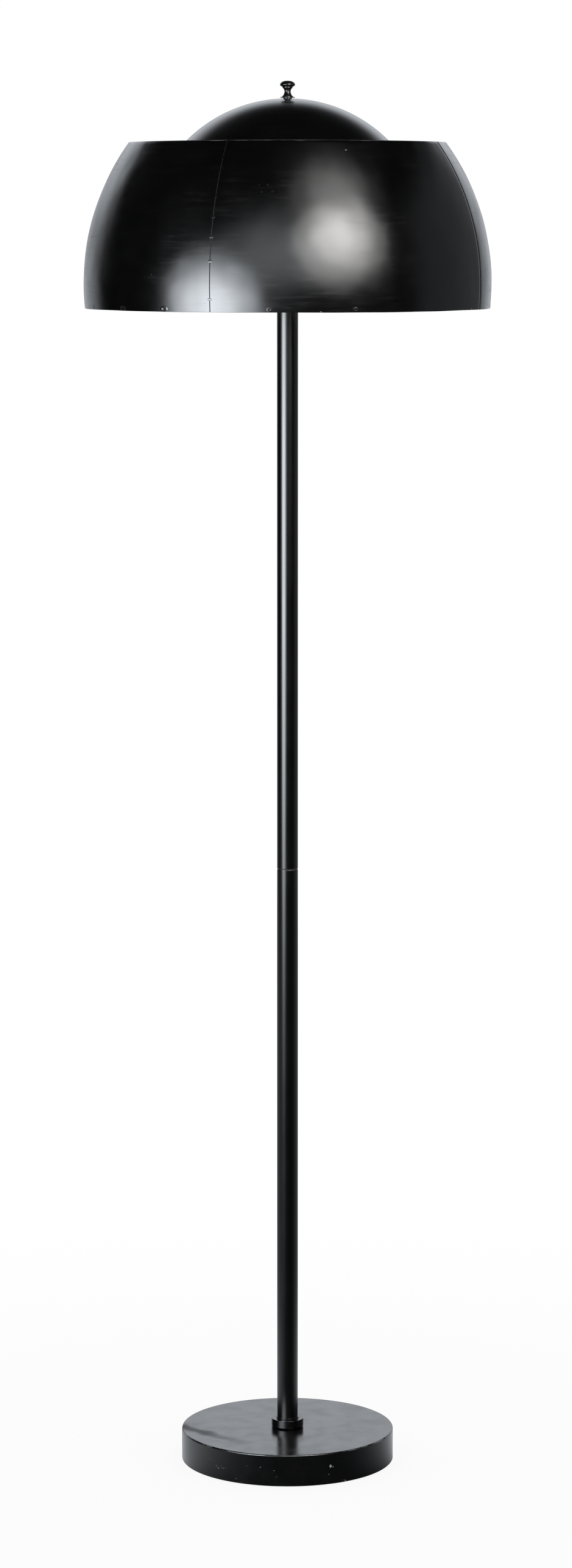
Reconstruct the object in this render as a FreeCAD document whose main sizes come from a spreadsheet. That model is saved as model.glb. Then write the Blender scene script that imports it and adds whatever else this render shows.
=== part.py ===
import FreeCAD, Part
import Sketcher
import math
import os
from types import SimpleNamespace

# Mushroom floor lamp: a weighted round foot, a pole in two lengths, a twin lampholder, and a
# shade made of a ring of four curved sheets with a dome in its open top, held down by a finial.
# +Z is up, the front of the lamp faces -Y, and the origin is the middle of the foot at the floor.

# Driving dimensions, in millimetres and degrees: name, value, what it is.
DRIVING_SIZES = [
    ("pad_margin", 2.7, "felt pad to the inside of the foot cover"),
    ("pad_thickness", 2.0, "felt pad, from the floor to the iron weight"),
    ("pad_hole_radius", 22.0, "hole in the felt that leaves the foot nut free"),
    ("foot_radius", 127.7, "outside of the drawn steel foot cover"),
    ("foot_height", 38.6, "floor to the top of the foot cover"),
    ("cover_wall", 1.5, "sheet of the foot cover"),
    ("cover_edge_radius", 1.8, "outer bend of the foot cover, at its top edge"),
    ("cover_floor_gap", 0.8, "floor to the lower edge of the foot cover"),
    ("weight_margin", 2.4, "cast iron weight to the inside of the foot cover"),
    ("weight_thickness", 15.0, "plate of the cast iron weight"),
    ("weight_boss_radius", 26.0, "boss in the middle of the weight, up to the cover"),
    ("nut_recess_radius", 19.0, "recess under the weight for the foot nut"),
    ("nut_recess_depth", 12.0, "recess under the weight, from the felt up"),
    ("cord_groove_width", 9.0, "groove under the weight for a supply cord"),
    ("cord_groove_depth", 12.5, "groove under the weight, from the felt up"),
    ("inlet_height", 9.5, "floor to the middle of the cord inlet"),
    ("inlet_bore_radius", 3.5, "bore of the cord inlet bushing"),
    ("inlet_neck_radius", 5.4, "neck of the bushing, in the wall of the cover"),
    ("inlet_lip_radius", 6.6, "lip of the bushing inside the cover"),
    ("inlet_lip_thickness", 1.6, "lip of the bushing inside the cover"),
    ("inlet_flange_radius", 7.2, "flange of the bushing outside the cover"),
    ("inlet_flange_thickness", 1.8, "flange of the bushing outside the cover"),
    ("nipple_radius", 5.0, "outside of the threaded tubes"),
    ("nipple_bore_radius", 3.5, "wire way in the threaded tubes"),
    ("nipple_stub", 5.3, "how far the foot's threaded tube stands out of its nut"),
    ("nipple_reach", 12.6, "how far it goes into the bush of the pole"),
    ("hex_flats", 14.0, "across the flats of every hexagon nut"),
    ("hex_thickness", 4.0, "every hexagon nut"),
    ("washer_radius", 11.0, "plain washers"),
    ("washer_thickness", 1.5, "plain washers"),
    ("collar_radius", 19.3, "collar at the foot of the pole"),
    ("collar_height", 10.7, "collar, from the foot cover up"),
    ("collar_web", 4.0, "bottom of the collar, under the pole"),
    ("collar_lower_chamfer", 1.6, "lower edge of the collar"),
    ("collar_upper_chamfer", 0.5, "upper edge of the collar"),
    ("collar_lip_wall", 0.8, "thin lip of the collar that hugs the pole"),
    ("collar_lip_height", 1.9, "lip above the top of the collar"),
    ("pole_radius", 12.5, "outside of the pole tube"),
    ("pole_wall", 1.2, "wall of the pole tube"),
    ("pole_end_chamfer", 0.5, "outer edge of each tube end at the joint"),
    ("foot_bush_length", 20.0, "threaded bush in the lower end of the pole"),
    ("lower_pole_length", 679.6, "lower tube, from the web of the collar to the joint"),
    ("upper_pole_length", 701.9, "upper tube, from the joint to the lampholder"),
    ("joint_groove", 0.9, "groove that shows between the two poles"),
    ("joint_bush_length", 18.0, "threaded bush in each pole at the joint"),
    ("joint_step", 0.6, "how far the joint's shoulder stays inside the pole surface"),
    ("joint_nipple_length", 30.0, "threaded tube in the joint"),
    ("top_bush_length", 18.0, "threaded bush in the top of the pole"),
    ("top_bush_flange", 3.0, "flange of that bush, under the lampholder body"),
    ("holder_nipple_length", 30.0, "threaded tube from the pole into the lampholder body"),
    ("holder_radius", 22.0, "lampholder body"),
    ("holder_height", 38.0, "lampholder body"),
    ("holder_wall", 1.2, "sheet of the lampholder body"),
    ("holder_lid_thickness", 1.5, "lid of the lampholder body"),
    ("holder_lid_skirt", 5.0, "skirt of the lid, inside the body"),
    ("arm_nipple_reach", 7.6, "how far a socket's threaded tube goes into its cap"),
    ("arm_nut_thickness", 3.0, "thin nut on that tube, inside the lampholder body"),
    ("socket_cap_gap", 0.4, "lampholder body to the back of a socket cap"),
    ("socket_cap_length", 15.6, "socket cap"),
    ("socket_cap_back_radius", 8.0, "flat back of the socket cap"),
    ("socket_cap_cone", 8.0, "length of the cone of the socket cap"),
    ("socket_sheet", 0.8, "sheet of the socket cap and shell"),
    ("socket_shell_inset", 11.1, "back of the socket cap to the inner end of the shell"),
    ("socket_shell_length", 45.0, "socket shell"),
    ("socket_cap_play", 0.3, "play between the socket cap and the shell in it"),
    ("socket_core_inset", 1.5, "inner end of the shell to the back of its porcelain core"),
    ("socket_core_base", 12.0, "solid back of the porcelain core"),
    ("socket_core_length", 40.0, "porcelain core"),
    ("socket_core_wall", 0.9, "wall of the porcelain core around the screw shell"),
    ("socket_fit", 0.15, "play between the shell, the core and the screw shell"),
    ("screw_shell_length", 26.0, "brass screw shell"),
    ("screw_shell_wall", 0.4, "sheet of the brass screw shell"),
    ("contact_radius", 4.0, "spring contact at the back of a socket"),
    ("contact_thickness", 0.6, "spring contact at the back of a socket"),
    ("knob_inset", 6.0, "back of the porcelain core to the axis of the switch"),
    ("knob_shaft_radius", 2.0, "shaft of the switch knob"),
    ("knob_shaft_depth", 11.0, "how far the shaft goes into the core"),
    ("knob_shaft_reach", 21.5, "socket axis to the top of the knob's grip"),
    ("knob_grip_radius", 4.6, "round root of the knob's grip"),
    ("knob_grip_root", 4.0, "length of the round root"),
    ("knob_paddle_width", 13.0, "flat paddle of the knob"),
    ("knob_paddle_thickness", 3.2, "flat paddle of the knob"),
    ("knob_paddle_length", 11.0, "flat paddle of the knob"),
    ("knob_hole_play", 0.8, "play around the switch shaft in the shell"),
    ("bulb_contact_radius", 4.5, "centre contact of a bulb"),
    ("bulb_contact_thickness", 1.6, "centre contact of a bulb"),
    ("bulb_contact_gap", 0.3, "between the two centre contacts"),
    ("bulb_cap_radius", 13.0, "screw cap of a bulb"),
    ("bulb_cap_end_radius", 6.0, "narrow end of the screw cap"),
    ("bulb_cap_cone", 3.5, "cone at the end of the screw cap"),
    ("bulb_cap_length", 25.5, "screw cap of a bulb"),
    ("bulb_cap_sheet", 0.5, "sheet of the screw cap"),
    ("bulb_play", 0.7, "play between a bulb's screw cap and the screw shell"),
    ("bulb_neck_step", 0.6, "how far the neck of the glass stands out over the cap"),
    ("bulb_neck_length", 9.0, "straight neck of the glass"),
    ("bulb_radius", 30.0, "globe of the glass"),
    ("bulb_length", 83.0, "glass beyond the screw cap"),
    ("bulb_glass", 0.8, "thickness of the glass"),
    ("post_stub", 6.0, "how far the shade's post goes below the nut under the lid"),
    ("post_top_drop", 0.5, "top of the tube around the post to the top of the post"),
    ("post_hole_depth", 17.0, "tapped hole in the top of the post"),
    ("arm_rise", 57.5, "lid of the lampholder body to the underside of the shade's arms"),
    ("hub_radius", 16.0, "hub of the three arms"),
    ("hub_thickness", 4.0, "hub of the three arms"),
    ("arm_width", 14.0, "each of the three arms"),
    ("arm_thickness", 2.0, "each of the three arms"),
    ("arm_foot_height", 15.0, "foot of an arm, along the ring"),
    ("arm_foot_thickness", 1.6, "foot of an arm"),
    ("arm_foot_angle", 4.4, "foot of an arm, around the lamp axis"),
    ("arm_azimuth", -6.5, "first arm, from the front towards the right"),
    ("spacer_radius", 7.5, "tube between the hub and the dome"),
    ("spacer_clearance", 0.5, "play between the post and the tube around it"),
    ("seat_washer_radius", 12.5, "washer under the dome"),
    ("seat_washer_thickness", 1.2, "washer under the dome"),
    ("ring_drop", 137.8, "underside of the arms down to the lower edge of the shade ring"),
    ("ring_rise", 55.0, "underside of the arms up to the upper edge of the shade ring"),
    ("ring_belly_radius", 239.2, "widest part of the shade ring"),
    ("ring_belly_drop", 109.6, "underside of the arms down to the widest part of the ring"),
    ("ring_arc_radius", 279.2, "bend of the ring's sheets from edge to edge"),
    ("ring_wall", 0.8, "sheet of the shade ring"),
    ("seam_azimuth", -21.5, "first seam, from the front towards the right"),
    ("seam_gap_angle", 0.16, "open seam between two sheets, around the lamp axis"),
    ("tack_length", 3.6, "each weld tack across a seam"),
    ("first_tack_rise", 14.0, "lower edge of the ring to the first tack"),
    ("last_tack_drop", 18.0, "upper edge of the ring to the last tack"),
    ("hoop_rise", 0.9, "lower edge of the ring to the stiffening hoop"),
    ("hoop_width", 9.0, "stiffening hoop inside the lower edge"),
    ("hoop_thickness", 1.2, "stiffening hoop inside the lower edge"),
    ("weld_gap", 0.04, "hair gap between spot-welded sheets"),
    ("dome_sphere_radius", 167.5, "outside of the spherical dome"),
    ("dome_rise", 105.4, "underside of the arms to the flat seat on top of the dome"),
    ("dome_seat_radius", 12.6, "flat seat on top of the dome"),
    ("dome_depth", 92.4, "lower edge of the dome to the seat on top of it"),
    ("dome_wall", 0.8, "sheet of the dome"),
    ("dome_hole_play", 0.7, "play around the finial screw in the dome"),
    ("finial_spigot_radius", 5.1, "spigot of the finial washer"),
    ("finial_spigot_height", 1.2, "spigot of the finial washer"),
    ("finial_washer_radius", 8.85, "flange of the finial washer"),
    ("finial_washer_thickness", 0.9, "flange of the finial washer"),
    ("finial_height", 18.8, "finial, from its washer to its top"),
    ("finial_foot_radius", 6.4, "flared foot of the finial"),
    ("finial_foot_thickness", 0.8, "straight edge of that foot"),
    ("finial_neck_radius", 3.65, "neck of the finial"),
    ("finial_neck_height", 6.2, "finial washer to the narrowest part of the neck"),
    ("finial_cup_radius", 6.1, "cup under the finial's head"),
    ("finial_cup_height", 10.6, "finial washer to the edge of the cup"),
    ("finial_cup_edge", 1.3, "straight edge of the cup"),
    ("finial_head_radius", 8.95, "head of the finial"),
    ("finial_head_height", 14.4, "finial washer to the widest part of the head"),
    ("finial_head_under", 6.6, "underside of the head, radius where it turns down"),
    ("finial_screw_radius", 2.5, "screw of the finial"),
    ("finial_screw_length", 16.0, "screw of the finial, below its foot"),
    ("thread_fit", 0.1, "play between a screw or shaft and what it turns in"),
    ("hole_fit", 0.2, "play around a tube that passes through a hole"),
]

# Counts, turns, and the point (0.8, 0.6) of a unit circle where a bulb's globe meets its cone.
SEAM_COUNT = 4
ARM_COUNT = 3
TACKS_PER_SEAM = 6
HEXAGON_SIDES = 6
GLOBE_EDGE_ACROSS = 0.8
GLOBE_EDGE_DOWN = 0.6
QUARTER_TURN = 90.0
FULL_TURN = 360.0


class Size:
    """A length or an angle: its number now, and the sheet's formula for it."""

    def __init__(self, number, formula=None):
        self.number = float(number)
        self.formula = formula if formula else repr(float(number))

    def __add__(self, other):
        other = as_size(other)
        return Size(self.number + other.number, f"({self.formula} + {other.formula})")

    def __sub__(self, other):
        other = as_size(other)
        return Size(self.number - other.number, f"({self.formula} - {other.formula})")

    def __rsub__(self, other):
        return as_size(other) - self

    def __mul__(self, other):
        other = as_size(other)
        return Size(self.number * other.number, f"({self.formula} * {other.formula})")

    def __truediv__(self, other):
        other = as_size(other)
        return Size(self.number / other.number, f"({self.formula} / {other.formula})")

    def __neg__(self):
        return Size(-self.number, f"(-{self.formula})")

    __radd__ = __add__
    __rmul__ = __mul__


def as_size(value):
    return value if isinstance(value, Size) else Size(value)


def root(size):
    return Size(math.sqrt(size.number), f"sqrt({size.formula})")


def leg(slant, other_leg):
    """The third side of a right-angled triangle."""
    return root(slant * slant - other_leg * other_leg)


doc = FreeCAD.newDocument("mushroom_floor_lamp")
sheet = doc.addObject("Spreadsheet::Sheet", "Sizes")
for row, (alias, value, meaning) in enumerate(DRIVING_SIZES, start=1):
    sheet.set(f"A{row}", meaning)
    sheet.set(f"B{row}", str(value))
    sheet.setAlias(f"B{row}", alias)
doc.recompute()
d = SimpleNamespace(**{alias: Size(value, f"Sizes.{alias}") for alias, value, _ in DRIVING_SIZES})
ZERO = Size(0)
hex_corner = d.hex_flats / root(Size(3))
sub_parts = []


def keep(piece, name):
    """Name a finished sub-part and list it for writing."""
    piece.Label = name
    sub_parts.append(piece)
    return piece


def origin_plane(body, role):
    return next(plane for plane in body.Origin.OriginFeatures if plane.Role == role)


def drive(target, path, size):
    target.setExpression(path, as_size(size).formula)


class Bend:
    """An edge that is an arc: its centre and radius. It follows the corner it is listed after."""

    def __init__(self, centre_across, centre_up, radius):
        self.across = as_size(centre_across)
        self.up = as_size(centre_up)
        self.radius = as_size(radius)


def draw_outline(sketch, corners):
    """Draw a closed outline of (across, up) corners, with a Bend between two where it curves."""
    points = []
    bends = []
    for item in corners:
        if isinstance(item, Bend):
            bends[-1] = item
        else:
            points.append((as_size(item[0]), as_size(item[1])))
            bends.append(None)
    starts = []
    ends = []
    for place, bend in enumerate(bends):
        here = vector_of(points[place])
        there = vector_of(points[(place + 1) % len(points)])
        if bend is None:
            edge = sketch.addGeometry(Part.LineSegment(here, there), False)
            starts.append((edge, 1))
            ends.append((edge, 2))
        else:
            edge, forward = add_bend(sketch, here, there, bend)
            starts.append((edge, 1 if forward else 2))
            ends.append((edge, 2 if forward else 1))
            add_driven(sketch, ("Radius", edge), bend.radius)
    for place, (across, up) in enumerate(points):
        edge, end = starts[place]
        sketch.addConstraint(Sketcher.Constraint("Coincident", *ends[place - 1], edge, end))
        add_driven(sketch, ("DistanceX", -1, 1, edge, end), across)
        add_driven(sketch, ("DistanceY", -1, 1, edge, end), up)


def vector_of(point):
    return FreeCAD.Vector(point[0].number, point[1].number, 0)


def add_bend(sketch, here, there, bend):
    """Add the short arc between two corners, which a sketch stores anticlockwise."""
    centre = FreeCAD.Vector(bend.across.number, bend.up.number, 0)
    first = math.atan2(here.y - centre.y, here.x - centre.x)
    last = math.atan2(there.y - centre.y, there.x - centre.x)
    forward = (last - first) % math.tau < math.pi
    if not forward:
        first, last = last, first
    circle = Part.Circle(centre, FreeCAD.Vector(0, 0, 1), bend.radius.number)
    last_beyond_first = first + (last - first) % math.tau
    return sketch.addGeometry(Part.ArcOfCircle(circle, first, last_beyond_first), False), forward


def add_driven(sketch, terms, size):
    place = sketch.addConstraint(Sketcher.Constraint(*terms, size.number))
    drive(sketch, f"Constraints[{place}]", size)


def add_sketch(body, role, name, lift=None):
    """Attach a sketch to one of the body's origin planes, lifted off it if need be."""
    sketch = body.newObject("Sketcher::SketchObject", name)
    sketch.AttachmentSupport = [(origin_plane(body, role), "")]
    sketch.MapMode = "FlatFace"
    if lift is not None:
        drive(sketch, "AttachmentOffset.Base.z", lift)
    return sketch


def revolve(body, corners, name, angle=None):
    """Turn an outline about the body's upright axis, all round or evenly to both sides."""
    sketch = add_sketch(body, "XZ_Plane", f"{name}_outline")
    draw_outline(sketch, corners)
    turn = body.newObject("PartDesign::Revolution", name)
    turn.Profile = sketch
    turn.ReferenceAxis = (sketch, ["V_Axis"])
    turn.Angle = FULL_TURN if angle is None else angle.number
    if angle is not None:
        drive(turn, "Angle", angle)
        turn.Midplane = True
    sketch.Visibility = False
    return turn


def turned(name, corners, angle=None):
    """A sub-part turned about the upright axis."""
    body = doc.addObject("PartDesign::Body", f"{name}_body")
    revolve(body, corners, f"{name}_turn", angle)
    return keep(body, name)


def tube_outline(outer, inner, low, high):
    return [(inner, low), (outer, low), (outer, high), (inner, high)]


def rod_outline(radius, low, high):
    return tube_outline(radius, ZERO, low, high)


def pocket(body, plane, corners, name, lift, depth, reverse=False):
    """Cut a pocket of a given outline; the sketch is lifted off the origin plane."""
    sketch = add_sketch(body, plane, f"{name}_outline", lift)
    draw_outline(sketch, corners)
    cut_from(body, sketch, name, depth, reverse)


def round_pocket(body, plane, centre, radius, name, lift, depth, reverse=False):
    """Cut a round hole; the sketch is lifted off the origin plane."""
    sketch = add_sketch(body, plane, f"{name}_outline", lift)
    draw_circle(sketch, centre, radius)
    cut_from(body, sketch, name, depth, reverse)


def draw_circle(sketch, centre, radius):
    across, up = as_size(centre[0]), as_size(centre[1])
    middle = FreeCAD.Vector(across.number, up.number, 0)
    edge = sketch.addGeometry(Part.Circle(middle, FreeCAD.Vector(0, 0, 1), radius.number), False)
    add_driven(sketch, ("Radius", edge), radius)
    add_driven(sketch, ("DistanceX", -1, 1, edge, 3), across)
    add_driven(sketch, ("DistanceY", -1, 1, edge, 3), up)


def cut_from(body, sketch, name, depth, reverse):
    doc.recompute()
    before = body.Shape.Volume
    cut = body.newObject("PartDesign::Pocket", name)
    cut.Profile = sketch
    drive(cut, "Length", depth)
    cut.Reversed = reverse
    sketch.Visibility = False
    doc.recompute()
    if body.Shape.Volume >= before:
        raise ValueError(f"{name} removes nothing")


def pad(body, plane, corners, name, lift, height):
    sketch = add_sketch(body, plane, f"{name}_outline", lift)
    draw_outline(sketch, corners)
    solid = body.newObject("PartDesign::Pad", name)
    solid.Profile = sketch
    drive(solid, "Length", height)
    sketch.Visibility = False
    return solid


def hexagon_nut(name, low, bore, thickness):
    """A hexagon nut with its axis upright, as a prism with a hole."""
    prism = doc.addObject("Part::Prism", f"{name}_prism")
    prism.Polygon = HEXAGON_SIDES
    drive(prism, "Circumradius", hex_corner)
    drive(prism, "Height", thickness)
    hole = doc.addObject("Part::Cylinder", f"{name}_hole")
    drive(hole, "Radius", bore)
    drive(hole, "Height", thickness)
    nut = doc.addObject("Part::Cut", f"{name}_cut")
    nut.Base = prism
    nut.Tool = hole
    drive(nut, "Placement.Base.z", low)
    return nut


def lay_along_x(piece, side):
    """Turn an upright sub-part onto the socket axis, pointing to the right (1) or left (-1)."""
    piece.Placement.Rotation = FreeCAD.Rotation(FreeCAD.Vector(0, 1, 0), side * QUARTER_TURN)
    drive(piece, "Placement.Base.z", socket_height)


def face_azimuth(piece, azimuth):
    """Turn a sub-part so that what lay on +X points to an azimuth, front 0, right 90 degrees."""
    drive(piece, "Placement.Rotation.Angle", azimuth - QUARTER_TURN)


# ---- Foot --------------------------------------------------------------------------------------

# A ring of felt keeps the iron off the floor.
cover_inside = d.foot_radius - d.cover_wall
turned("foot_pad", tube_outline(cover_inside - d.pad_margin, d.pad_hole_radius, ZERO,
                                d.pad_thickness))

# The cast iron weight: a plate with a boss that carries the cover, a recess for the nut and a
# groove from the recess to the back for a supply cord.
weight_radius = cover_inside - d.weight_margin
weight_top = d.pad_thickness + d.weight_thickness
cover_underside = d.foot_height - d.cover_wall
recess_top = d.pad_thickness + d.nut_recess_depth
nipple_hole = d.nipple_radius + d.hole_fit
foot_weight = turned("foot_weight", [
    (d.nut_recess_radius, d.pad_thickness),
    (weight_radius, d.pad_thickness),
    (weight_radius, weight_top),
    (d.weight_boss_radius, weight_top),
    (d.weight_boss_radius, cover_underside),
    (nipple_hole, cover_underside),
    (nipple_hole, recess_top),
    (d.nut_recess_radius, recess_top),
])
half_groove = d.cord_groove_width / 2
pocket(foot_weight, "XY_Plane",
       [(-half_groove, ZERO), (half_groove, ZERO),
        (half_groove, d.foot_radius), (-half_groove, d.foot_radius)],
       "cord_groove", d.pad_thickness, d.cord_groove_depth, reverse=True)

# The drawn steel cover, a shallow cup upside down, with a hole in its back wall.
edge_inner = d.cover_edge_radius - d.cover_wall
edge_centre = (d.foot_radius - d.cover_edge_radius, d.foot_height - d.cover_edge_radius)
foot_cover = turned("foot_cover", [
    (cover_inside, d.cover_floor_gap),
    (d.foot_radius, d.cover_floor_gap),
    (d.foot_radius, edge_centre[1]),
    Bend(*edge_centre, d.cover_edge_radius),
    (edge_centre[0], d.foot_height),
    (nipple_hole, d.foot_height),
    (nipple_hole, cover_underside),
    (edge_centre[0], cover_underside),
    Bend(*edge_centre, edge_inner),
    (cover_inside, edge_centre[1]),
])
lip_outer_end = leg(cover_inside, d.inlet_lip_radius) - d.hole_fit
inlet_inner_end = lip_outer_end - d.inlet_lip_thickness
inlet_outer_end = d.foot_radius + d.inlet_flange_thickness
round_pocket(foot_cover, "XZ_Plane", (ZERO, d.inlet_height), d.inlet_neck_radius + d.hole_fit,
             "inlet_hole", -inlet_inner_end, inlet_outer_end - inlet_inner_end)

# The cord inlet is a flanged bushing in the back wall of the cover.
cord_inlet = turned("cord_inlet", [
    (d.inlet_bore_radius, inlet_inner_end),
    (d.inlet_lip_radius, inlet_inner_end),
    (d.inlet_lip_radius, lip_outer_end),
    (d.inlet_neck_radius, lip_outer_end),
    (d.inlet_neck_radius, d.foot_radius),
    (d.inlet_flange_radius, d.foot_radius),
    (d.inlet_flange_radius, inlet_outer_end),
    (d.inlet_bore_radius, inlet_outer_end),
])
cord_inlet.Placement.Rotation = FreeCAD.Rotation(FreeCAD.Vector(1, 0, 0), -QUARTER_TURN)
drive(cord_inlet, "Placement.Base.z", d.inlet_height)

# A threaded tube, a nut and a washer pull foot, collar and pole together.
foot_washer_low = recess_top - d.washer_thickness
foot_nut_low = foot_washer_low - d.hex_thickness
pole_foot = d.foot_height + d.collar_web
turned("foot_nipple", tube_outline(d.nipple_radius, d.nipple_bore_radius,
                                   foot_nut_low - d.nipple_stub, pole_foot + d.nipple_reach))
turned("foot_washer", tube_outline(d.washer_radius, nipple_hole, foot_washer_low, recess_top))
keep(hexagon_nut("foot_nut", foot_nut_low, d.nipple_radius, d.hex_thickness), "foot_nut")

# The collar is a turned cup that the pole stands in.
collar_top = d.foot_height + d.collar_height
collar_bore = d.pole_radius + d.thread_fit
lip_radius = collar_bore + d.collar_lip_wall
turned("pole_collar", [
    (nipple_hole, d.foot_height),
    (d.collar_radius - d.collar_lower_chamfer, d.foot_height),
    (d.collar_radius, d.foot_height + d.collar_lower_chamfer),
    (d.collar_radius, collar_top - d.collar_upper_chamfer),
    (d.collar_radius - d.collar_upper_chamfer, collar_top),
    (lip_radius, collar_top),
    (lip_radius, collar_top + d.collar_lip_height),
    (collar_bore, collar_top + d.collar_lip_height),
    (collar_bore, pole_foot),
    (nipple_hole, pole_foot),
])

# ---- Pole --------------------------------------------------------------------------------------

# Two lengths of tube. The ends that meet are chamfered, which makes the groove that shows.
pole_bore = d.pole_radius - d.pole_wall
joint_height = pole_foot + d.lower_pole_length
turned("lower_pole", [
    (pole_bore, pole_foot),
    (d.pole_radius, pole_foot),
    (d.pole_radius, joint_height - d.pole_end_chamfer),
    (d.pole_radius - d.pole_end_chamfer, joint_height),
    (pole_bore, joint_height),
])
upper_pole_low = joint_height + d.joint_groove
pole_top = upper_pole_low + d.upper_pole_length
turned("upper_pole", [
    (pole_bore, upper_pole_low),
    (d.pole_radius - d.pole_end_chamfer, upper_pole_low),
    (d.pole_radius, upper_pole_low + d.pole_end_chamfer),
    (d.pole_radius, pole_top),
    (pole_bore, pole_top),
])

# Threaded bushes are brazed into the tube ends.
turned("pole_foot_bush", tube_outline(pole_bore, d.nipple_radius, pole_foot,
                                      pole_foot + d.foot_bush_length))
shoulder_radius = d.pole_radius - d.joint_step
turned("joint_bush_lower", [
    (d.nipple_radius, joint_height - d.joint_bush_length),
    (pole_bore, joint_height - d.joint_bush_length),
    (pole_bore, joint_height),
    (shoulder_radius, joint_height),
    (shoulder_radius, upper_pole_low),
    (d.nipple_radius, upper_pole_low),
])
turned("joint_bush_upper", tube_outline(pole_bore, d.nipple_radius, upper_pole_low,
                                        upper_pole_low + d.joint_bush_length))
joint_nipple_low = joint_height - d.joint_nipple_length / 2
turned("joint_nipple", tube_outline(d.nipple_radius, d.nipple_bore_radius, joint_nipple_low,
                                    joint_nipple_low + d.joint_nipple_length))
holder_low = pole_top + d.top_bush_flange
turned("pole_top_bush", [
    (d.nipple_radius, pole_top - d.top_bush_length),
    (pole_bore, pole_top - d.top_bush_length),
    (pole_bore, pole_top),
    (d.pole_radius, pole_top),
    (d.pole_radius, holder_low),
    (d.nipple_radius, holder_low),
])

# ---- Twin lampholder ---------------------------------------------------------------------------

# The body is a drawn steel cup on the pole, closed by a lid that carries the shade's post.
socket_height = holder_low + d.holder_height / 2
holder_high = holder_low + d.holder_height
holder_inside = d.holder_radius - d.holder_wall
holder_body = turned("holder_body", [
    (nipple_hole, holder_low),
    (d.holder_radius, holder_low),
    (d.holder_radius, holder_high),
    (holder_inside, holder_high),
    (holder_inside, holder_low + d.holder_wall),
    (nipple_hole, holder_low + d.holder_wall),
])
round_pocket(holder_body, "YZ_Plane", (ZERO, socket_height), nipple_hole,
             "socket_holes", -d.holder_radius, d.holder_radius * 2, reverse=True)
holder_nipple_low = holder_low + d.holder_wall + d.hex_thickness - d.holder_nipple_length
turned("holder_nipple", tube_outline(d.nipple_radius, d.nipple_bore_radius, holder_nipple_low,
                                     holder_low + d.holder_wall + d.hex_thickness))
keep(hexagon_nut("holder_nut", holder_low + d.holder_wall, d.nipple_radius, d.hex_thickness),
     "holder_nut")
lid_low = holder_high
lid_high = holder_high + d.holder_lid_thickness
skirt_radius = holder_inside - d.socket_fit
turned("holder_lid", [
    (nipple_hole, lid_low),
    (skirt_radius - d.holder_wall, lid_low),
    (skirt_radius - d.holder_wall, lid_low - d.holder_lid_skirt),
    (skirt_radius, lid_low - d.holder_lid_skirt),
    (skirt_radius, lid_low),
    (d.holder_radius, lid_low),
    (d.holder_radius, lid_high),
    (nipple_hole, lid_high),
])


# A socket is built outwards from the screw cap of a bulb, one thin wall around the other.
arm_nut_start = leg(holder_inside, hex_corner) - d.arm_nut_thickness - d.hole_fit
screw_inside = d.bulb_cap_radius + d.bulb_play
screw_radius = screw_inside + d.screw_shell_wall
core_inside = screw_radius + d.socket_fit
core_radius = core_inside + d.socket_core_wall
shell_inside = core_radius + d.socket_fit
shell_radius = shell_inside + d.socket_sheet
cap_inside = shell_radius + d.socket_cap_play
socket_cap_radius = cap_inside + d.socket_sheet


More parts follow.
